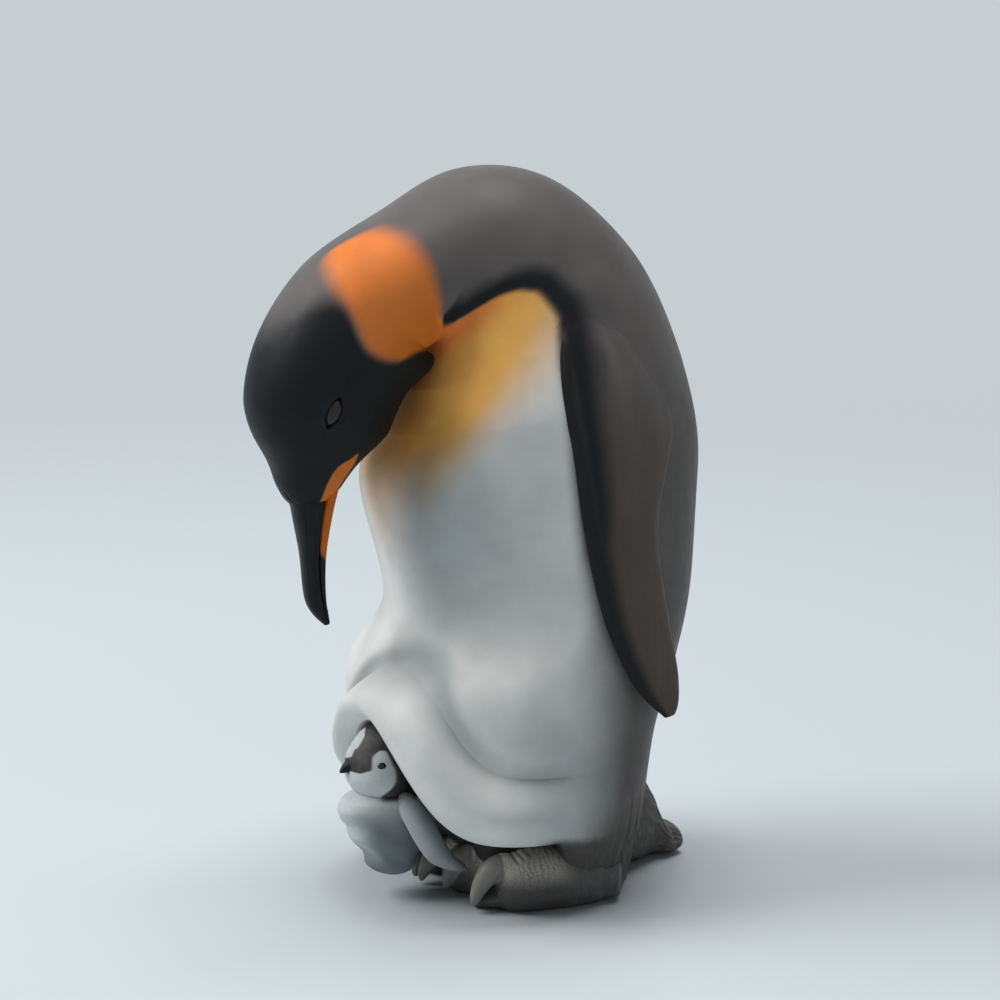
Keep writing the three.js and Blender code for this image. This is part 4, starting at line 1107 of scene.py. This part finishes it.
def foot_finish():
    """Leathery skin: fine scales with a painted highlight on the tops of the toes, and smooth horny claws.
    """
    material, tree, shader = new_finish("leathery_foot")
    cells = {"Vector": where_on(tree), "Scale": SCALES_TO_METRE}
    scales = add(tree, "TexVoronoi", cells, feature="DISTANCE_TO_EDGE").outputs["Distance"]
    scale_tops = ranged(tree, scales, 0, SCALE_GAP)
    claw, groove, feathers, crown_highlight = (
        carried(tree, name) for name in ("claw", "groove", "feathers", "crown_highlight")
    )
    drawn = place_effect(tree, feather_strokes, {"Amount": feathers, "Fineness": FEATHER_FINENESS})
    colour = mixed(tree, scale_tops, mixed(tree, crown_highlight, *GAP_PAINTS), mixed(tree, crown_highlight, *SCALE_PAINTS))
    colour = mixed(tree, claw, colour, CLAW_PAINT)
    colour = mixed(tree, groove, colour, GROOVE_PAINT)
    colour = mixed(tree, feathers, colour, mixed(tree, drawn["Light"], *FOOT_FEATHERS))
    coat(tree, shader, colour, *FOOT_SKIN)
    bare = sum_of(tree, sum_of(tree, 1, claw, "SUBTRACT"), feathers, "SUBTRACT")
    scaly = bump(tree, sum_of(tree, scale_tops, bare, "MULTIPLY"), *SCALE_BUMP)
    fill(tree, shader, {"Normal": bump(tree, drawn["Height"], *FEATHER_BUMP, scaly)})
    return material


leathery_foot = foot_finish()
for side, name, shift in ((1, "foot_left", 0), (-1, "foot_right", RIGHT_FOOT_SHIFT)):
    flesh, claws, lines = foot_lofts(shift)
    lofts = [loft(ribs, 12 * len(ribs), 40, TOE_SQUARENESS)[0] for ribs in flesh + claws]
    foot_points, foot_faces = melt([skin_over(on_table(rings)) for rings in lofts], FOOT_VOXEL)
    foot_points = ease(foot_points, foot_faces, FOOT_EASING)
    masks = foot_masks(foot_points, claws, lines, shift)
    inwards = unit(foot_points.mean(0) * FOOT_CORE - foot_points)
    foot_points = on_table(foot_points + inwards * (WRINKLE_DEPTH * masks["groove"])[:, None])
    if side < 0:
        foot_faces = [face[::-1] for face in foot_faces]
    add_piece(
        name + "_casting", foot_points * (side, 1, 1), foot_faces, leathery_foot, "foot_skin", masks, name
    )

# Chick body
# A small casting of the downy chick's body, modelled in soft rolls and painted in pale greys.
# It is doweled to the back wall of the pocket, under the rolled belly skin.

# Middle [forward, up], depth and width of each rib
CHICK_BODY_RIBS = [
    ((19.8, 4), 3.2, 3.6),
    ((20, 4.8), 6.6, 7.2),
    ((20.2, 6), 8.8, 9),
    ((20.2, 7.5), 9, 9.2),
    ((20.2, 8.3), 10, 9.8),
    ((20.3, 9.4), 12.2, 11),
    ((20.4, 10.5), 13.6, 12),
    ((20.4, 11.6), 13.9, 12.2),
    ((20.3, 12.6), 14.4, 12.2),
    ((20.2, 13.8), 16.8, 13),
    ((20.2, 15.4), 17.8, 13),
    ((20, 17.1), 17, 12),
    ((19.4, 18.8), 12, 8.4),
    ((19, 19.8), 8, 5),
]
CHICK_MIDDLE = 20.2
LUMPS, LUMP_HEIGHTS = 0.22, ((4, 8), (18, 16))
TILT, TILT_HEIGHTS = 0.5, ((4, 9), (17, 14))
COLLAR_HEIGHTS, COLLAR_TURNS = (17.5, 18.1), (50, 66)
SHADE_HEIGHTS, SHADE_TURNS, FOOT_SHADE_HEIGHTS = (19, 13), (10, 58), (11, 6)
TUFTS, TUFT_ROUGHNESS, BLOTCHES, BLOTCH_MIDDLE = (900, 5), 0.65, (420, 2), (0.48, 0.66)
DOWN_PAINTS, CAP_PAINTS = (paint("#b4babb"), paint("#d0d4d4")), (paint("#211f1e"), paint("#453e38"))
DOWN_SHADE, CAP_SPECKLE = paint("#6c757b"), 0.3
DOWN_SKIN, TUFT_BUMP = (0.6, 0.5), (0.1, 0.5)


def upright_ribs(ribs):
    """Level sections up a standing piece: middle [forward, up], depth and width."""
    return [((0, *middle), (0, depth / 2, 0), (width / 2, 0, 0)) for middle, depth, width in ribs]


def down_finish():
    """Pale grey down in soft tufts, shaded low down, and a dark brown mask where the mesh carries it."""
    material, tree, shader = new_finish("chick_down")
    tufts = noise(tree, *TUFTS, Roughness=TUFT_ROUGHNESS)
    worn = ranged(tree, noise(tree, *BLOTCHES), *BLOTCH_MIDDLE)
    colour = mixed(tree, carried(tree, "shade"), mixed(tree, tufts, *DOWN_PAINTS), DOWN_SHADE)
    colour = mixed(tree, mask_of(tree, "cap", CAP_SPECKLE), colour, mixed(tree, worn, *CAP_PAINTS))
    coat(tree, shader, colour, *DOWN_SKIN)
    fill(tree, shader, {"Normal": bump(tree, tufts, *TUFT_BUMP)})
    return material


chick_down = down_finish()
plain_chick, _, chick_turn = loft(upright_ribs(CHICK_BODY_RIBS), 170, 128)
chick_angle, plain_up = np.radians(chick_turn), plain_chick[..., 2]
lumps = np.sin(chick_angle * 4 + plain_up * 0.5) * np.sin(plain_up * 0.9 + chick_angle * 2)
lumps = LUMPS * lumps * window(plain_up, *LUMP_HEIGHTS)
chick_out = unit((plain_chick - (0, CHICK_MIDDLE, 0)) * (1, 1, 0))
chick_points = plain_chick + chick_out * lumps[..., None]
chick_points[..., 2] += TILT * np.sin(chick_angle * 2 + 0.6) * window(plain_up, *TILT_HEIGHTS)
chick_up, chick_front = chick_points[..., 2], turned_from(chick_turn)
collar = smooth(*COLLAR_HEIGHTS, chick_up) * smooth(*COLLAR_TURNS, chick_front)
side_shade = smooth(*SHADE_HEIGHTS, chick_up) * smooth(*SHADE_TURNS, chick_front)
chick_masks = {"cap": collar, "shade": np.maximum(side_shade, smooth(*FOOT_SHADE_HEIGHTS, chick_up))}
add_rings("chick_body_casting", chick_points, chick_down, "chick_down", chick_masks, "chick_body")

# Chick head
# A round resin head, doweled to the body, with a bill and two beads let into it.
# Its dark cap and mask leave a pale patch on each cheek, the far one running up the forehead.

# Middle [forward, up], depth and width of each rib
CHICK_HEAD_RIBS = [
    ((21, 17), 5.4, 5.6),
    ((21.6, 18.6), 9.6, 9.6),
    ((21.9, 21.5), 11.8, 11.4),
    ((21.8, 24), 11.6, 11.2),
    ((21.7, 26.3), 9.4, 9.4),
    ((21.6, 28.2), 6.6, 6.8),
    ((21.5, 29.6), 3.4, 3.6),
]
# Borders of the pale patches: the turn from the face's middle at a height
patch_front = profile(
    (16, 0), (22, 8), (22.15, 20), (22.9, 44), (23.6, 53), (24.4, 53), (25, 52), (25.8, 57), (26.2, 64),
    (26.5, 80), (30, 90),
)
patch_back = profile(
    (16, 52), (18.2, 62), (19, 72), (19.8, 83), (20.6, 89), (21.4, 92), (22.5, 92), (24, 86), (25.2, 81),
    (26, 76), (26.5, 66), (30, 0),
)
far_front = profile(
    (16, 0), (22, 4), (24.1, 11), (24.8, 8), (25.7, 7), (26.4, 14), (27.5, 15), (28.4, 4), (29, -40),
    (30, -120),
)
THROAT_UP = (22.2, 21.8)
PATCH_SOFTNESS, FAR_SOFTNESS = 6, 4
ROUND_BILL, ROUND_BILL_HEIGHTS = 42, ((21.9, 22.4), (24.9, 23.5))
FAR_TOP, FAR_TOP_TURNS, TURN_PER_HEIGHT = (25.6, 29.5), (-80, -24), 10
head_rings, _, chick_head_turn = loft(upright_ribs(CHICK_HEAD_RIBS), 150, 144)
signed_turn = (chick_head_turn + 180) % 360 - 180
head_up = head_rings[..., 2]
in_front = soft_edge(PATCH_SOFTNESS, signed_turn - patch_front(head_up))
throat = smooth(*THROAT_UP, head_up) * (signed_turn > 0)
near_patch = np.maximum(in_front, throat) * soft_edge(PATCH_SOFTNESS, patch_back(head_up) - signed_turn)
far_edge = far_front(head_up) - ROUND_BILL * window(head_up, *ROUND_BILL_HEIGHTS)
far_top = lerp(*FAR_TOP, smooth(*FAR_TOP_TURNS, signed_turn))
inside_far = np.minimum.reduce([
    far_edge - signed_turn,
    signed_turn + patch_back(head_up),
    (far_top - head_up) * TURN_PER_HEIGHT,
])
cap = 1 - np.maximum(near_patch, soft_edge(FAR_SOFTNESS, inside_far))
head_masks = {"cap": cap, "shade": 0 * cap}
add_rings("chick_head_casting", head_rings, chick_down, "chick_down", head_masks, "chick_head")

# Chick bill
# A tiny pointed casting in resin, painted dark.
# Its root is let into the face and glued, in the middle of the dark mask.

# Middle [forward, up], thickness and width of each rib
CHICK_BILL_RIBS = [
    ((25.6, 23.4), 3.2, 3.4),
    ((27.4, 23.1), 2.2, 2.4),
    ((28.4, 22.7), 1.4, 1.4),
    ((29, 22.3), 0.5, 0.5),
]
chick_bill, _, _ = loft(level_ribs(CHICK_BILL_RIBS), 50, 48)
add_rings(
    "chick_bill_casting", chick_bill, bill_finish("chick_horn", False), "chick_mask", {}, "chick_bill"
)

# Chick eyes
# Two small black beads of resin, cast apart from the head.
# They are pressed into its sides and varnished like the adult's.
CHICK_EYE_BEAD = (0.9, 0.66, 0.75)
for side, hand in BOTH_SIDES:
    name = "chick_eye" + hand
    low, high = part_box(name)
    middle = (low + high) / 2 / MM
    spot = np.array((middle.x * side, -(middle.y - DRAWING_AXIS / MM), middle.z))
    rings = bead(spot, np.array((0, 1, 0)), np.array((1, 0, 0)), CHICK_EYE_BEAD, 24, 32)
    add_rings(name + "_bead", rings * (side, 1, 1), varnished_eye, "eye_black", {}, name)

# Chick flippers
# Two thin castings in resin, painted like the body and darker towards their tips.
# They are glued to the chick's shoulders and hang down to the adult's toes.

# Middle [forward, up, left], chord and thickness of each rib
CHICK_FLIPPER_RIBS = [
    ((20.2, 18.2, 3.4), 1.6, 1.2),
    ((19.9, 17.6, 4.9), 3.2, 2),
    ((19.1, 15.8, 6.8), 4.3, 2.4),
    ((17.6, 12.3, 8.5), 4.4, 2.2),
    ((16, 9.3, 9.5), 3.8, 2),
    ((14, 7.6, 10.1), 2.4, 1.6),
    ((12.2, 6.7, 10.5), 1.5, 1),
    ((11.6, 6.4, 10.6), 0.6, 0.5),
]
EDGE_SHADE, EDGE_SHADE_ACROSS, EDGE_SHADE_START = (0.35, 0.9), (-0.6, 0.7), (0, 2)
TIP_DARK, TIP_DARK_RIBS = 0.55, (3, 6.5)


def chick_flipper_ribs():
    middles = [np.array((left, forward, up)) for (forward, up, left), _, _ in CHICK_FLIPPER_RIBS]
    ribs = []
    for number, (_, chord, thick) in enumerate(CHICK_FLIPPER_RIBS):
        run = unit(middles[min(number + 1, len(middles) - 1)] - middles[max(number - 1, 0)])
        out = unit(np.array((1, 0, 0)) - run * run[0])
        ribs.append((middles[number], np.cross(run, out) * chord / 2, out * thick / 2))
    return ribs


chick_flipper, chick_flipper_at, chick_flipper_turn = loft(chick_flipper_ribs(), 90, 48)
edge_shade = lerp(*EDGE_SHADE, smooth(*EDGE_SHADE_ACROSS, np.cos(np.radians(chick_flipper_turn))))
chick_flipper_masks = {
    "cap": TIP_DARK * smooth(*TIP_DARK_RIBS, chick_flipper_at),
    "shade": edge_shade * smooth(*EDGE_SHADE_START, chick_flipper_at),
}
add_pair("chick_flipper", "_casting", chick_flipper, chick_down, "chick_down", chick_flipper_masks)

# Dowels
# Drawn brass rod, cut to length and glued into bores in the castings to line them up.
# They keep the plain shapes of the source, and none of them shows on the finished ornament.
SCRATCHES = (2800, 4)
BRASS_PAINTS = (paint("#8f6f35"), paint("#c9a35a"))
BRASS_ROUGHNESS = (0.25, 0.45)


def brass_finish():
    material, tree, shader = new_finish("drawn_brass")
    scratches = noise(tree, *SCRATCHES)
    fill(tree, shader, {
        "Base Color": mixed(tree, scratches, *BRASS_PAINTS),
        "Roughness": ranged(tree, scratches, 0, 1, *BRASS_ROUGHNESS),
        "Metallic": 1,
    })
    return material


drawn_brass = brass_finish()
for name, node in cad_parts.items():
    if "dowel" in name:
        node.data.materials.clear()
        node.data.materials.append(drawn_brass)

# Studio
# A pale table that fades into a pale room. A large softbox hangs overhead,
# a broad key lamp stands in front, and a weak lamp fills in from the figure's left.
TABLE_COLOUR, ROOM_COLOUR = paint("#c9d1d5"), paint("#c6ced2")
TABLE_RADIUS, TABLE_SIDES, TABLE_ROUGHNESS = 6, 96, 0.5
TABLE_FADE = (0.12, 0.75)
ROOM_LIGHT, ROOM_SEEN = 0.18, 1
FIGURE_MIDDLE = (0, DRAWING_AXIS, 0.06)
# Place, size and power of each lamp
LAMPS = {
    "overhead_softbox": ((0, 0.12, 1.5), 0.9, 15),
    "front_key": ((-0.45, -0.95, 1), 0.8, 14.5),
    "side_fill": ((1.3, 0.1, 0.6), 0.8, 0.8),
}


def table_finish():
    material, tree, shader = new_finish("pale_table")
    far = add(tree, "VectorMath", {0: where_on(tree)}, operation="LENGTH").outputs["Value"]
    fade = ranged(tree, far, *TABLE_FADE, interpolation_type="SMOOTHERSTEP")
    fill(tree, shader, {"Base Color": TABLE_COLOUR, "Roughness": TABLE_ROUGHNESS})
    glow = add(tree, "Emission", {"Color": ROOM_COLOUR})
    both = add(tree, "MixShader", {0: fade, 1: shader.outputs[0], 2: glow.outputs[0]})
    fill(tree, tree.nodes["Material Output"], {"Surface": both.outputs[0]})
    return material


ring = np.radians(turns_round(TABLE_SIDES))
table_mesh = bpy.data.meshes.new("table")
rim_points = np.stack([np.cos(ring), np.sin(ring), 0 * ring], -1) * TABLE_RADIUS
table_mesh.from_pydata(rim_points.tolist(), [], [list(range(TABLE_SIDES))])
table_mesh.materials.append(table_finish())
table = show("table", table_mesh)

room = bpy.data.worlds.new("room")
room.use_nodes = True
bpy.context.scene.world = room
path = add(room.node_tree, "LightPath").outputs
seen = sum_of(room.node_tree, path["Is Camera Ray"], path["Is Glossy Ray"], "MAXIMUM")
seen = sum_of(room.node_tree, seen, path["Is Transmission Ray"], "MAXIMUM")
strength = ranged(room.node_tree, seen, 0, 1, ROOM_LIGHT, ROOM_SEEN)
fill(room.node_tree, room.node_tree.nodes["Background"], {"Color": ROOM_COLOUR, "Strength": strength})

for name, (place, size, power) in LAMPS.items():
    lamp = bpy.data.lights.new(name, "AREA")
    lamp.size, lamp.energy = size, power
    holder = show(name, lamp)
    holder.location = place
    holder.rotation_euler = (Vector(FIGURE_MIDDLE) - Vector(place)).to_track_quat("-Z", "Y").to_euler()

# Camera
# A short telephoto view from the front left, a little above the figure's middle.
VIEW_AZIMUTH, VIEW_ELEVATION, VIEW_DISTANCE = math.radians(63), math.radians(11), 0.387
VIEW_SHIFT_UP = 0.027
FOCAL_LENGTH, SENSOR_WIDTH, NEAREST = 85, 36, 0.01
lens = bpy.data.cameras.new("camera")
lens.lens = FOCAL_LENGTH
lens.sensor_width = SENSOR_WIDTH
lens.shift_y = VIEW_SHIFT_UP
lens.clip_start = NEAREST
camera = show("camera", lens)
away = Vector((
    math.sin(VIEW_AZIMUTH) * math.cos(VIEW_ELEVATION),
    -math.cos(VIEW_AZIMUTH) * math.cos(VIEW_ELEVATION),
    math.sin(VIEW_ELEVATION),
))
camera.location = Vector(FIGURE_MIDDLE) + away * VIEW_DISTANCE
camera.rotation_euler = away.to_track_quat("Z", "Y").to_euler()
bpy.context.scene.camera = camera
bpy.context.scene.view_settings.view_transform = "Standard"
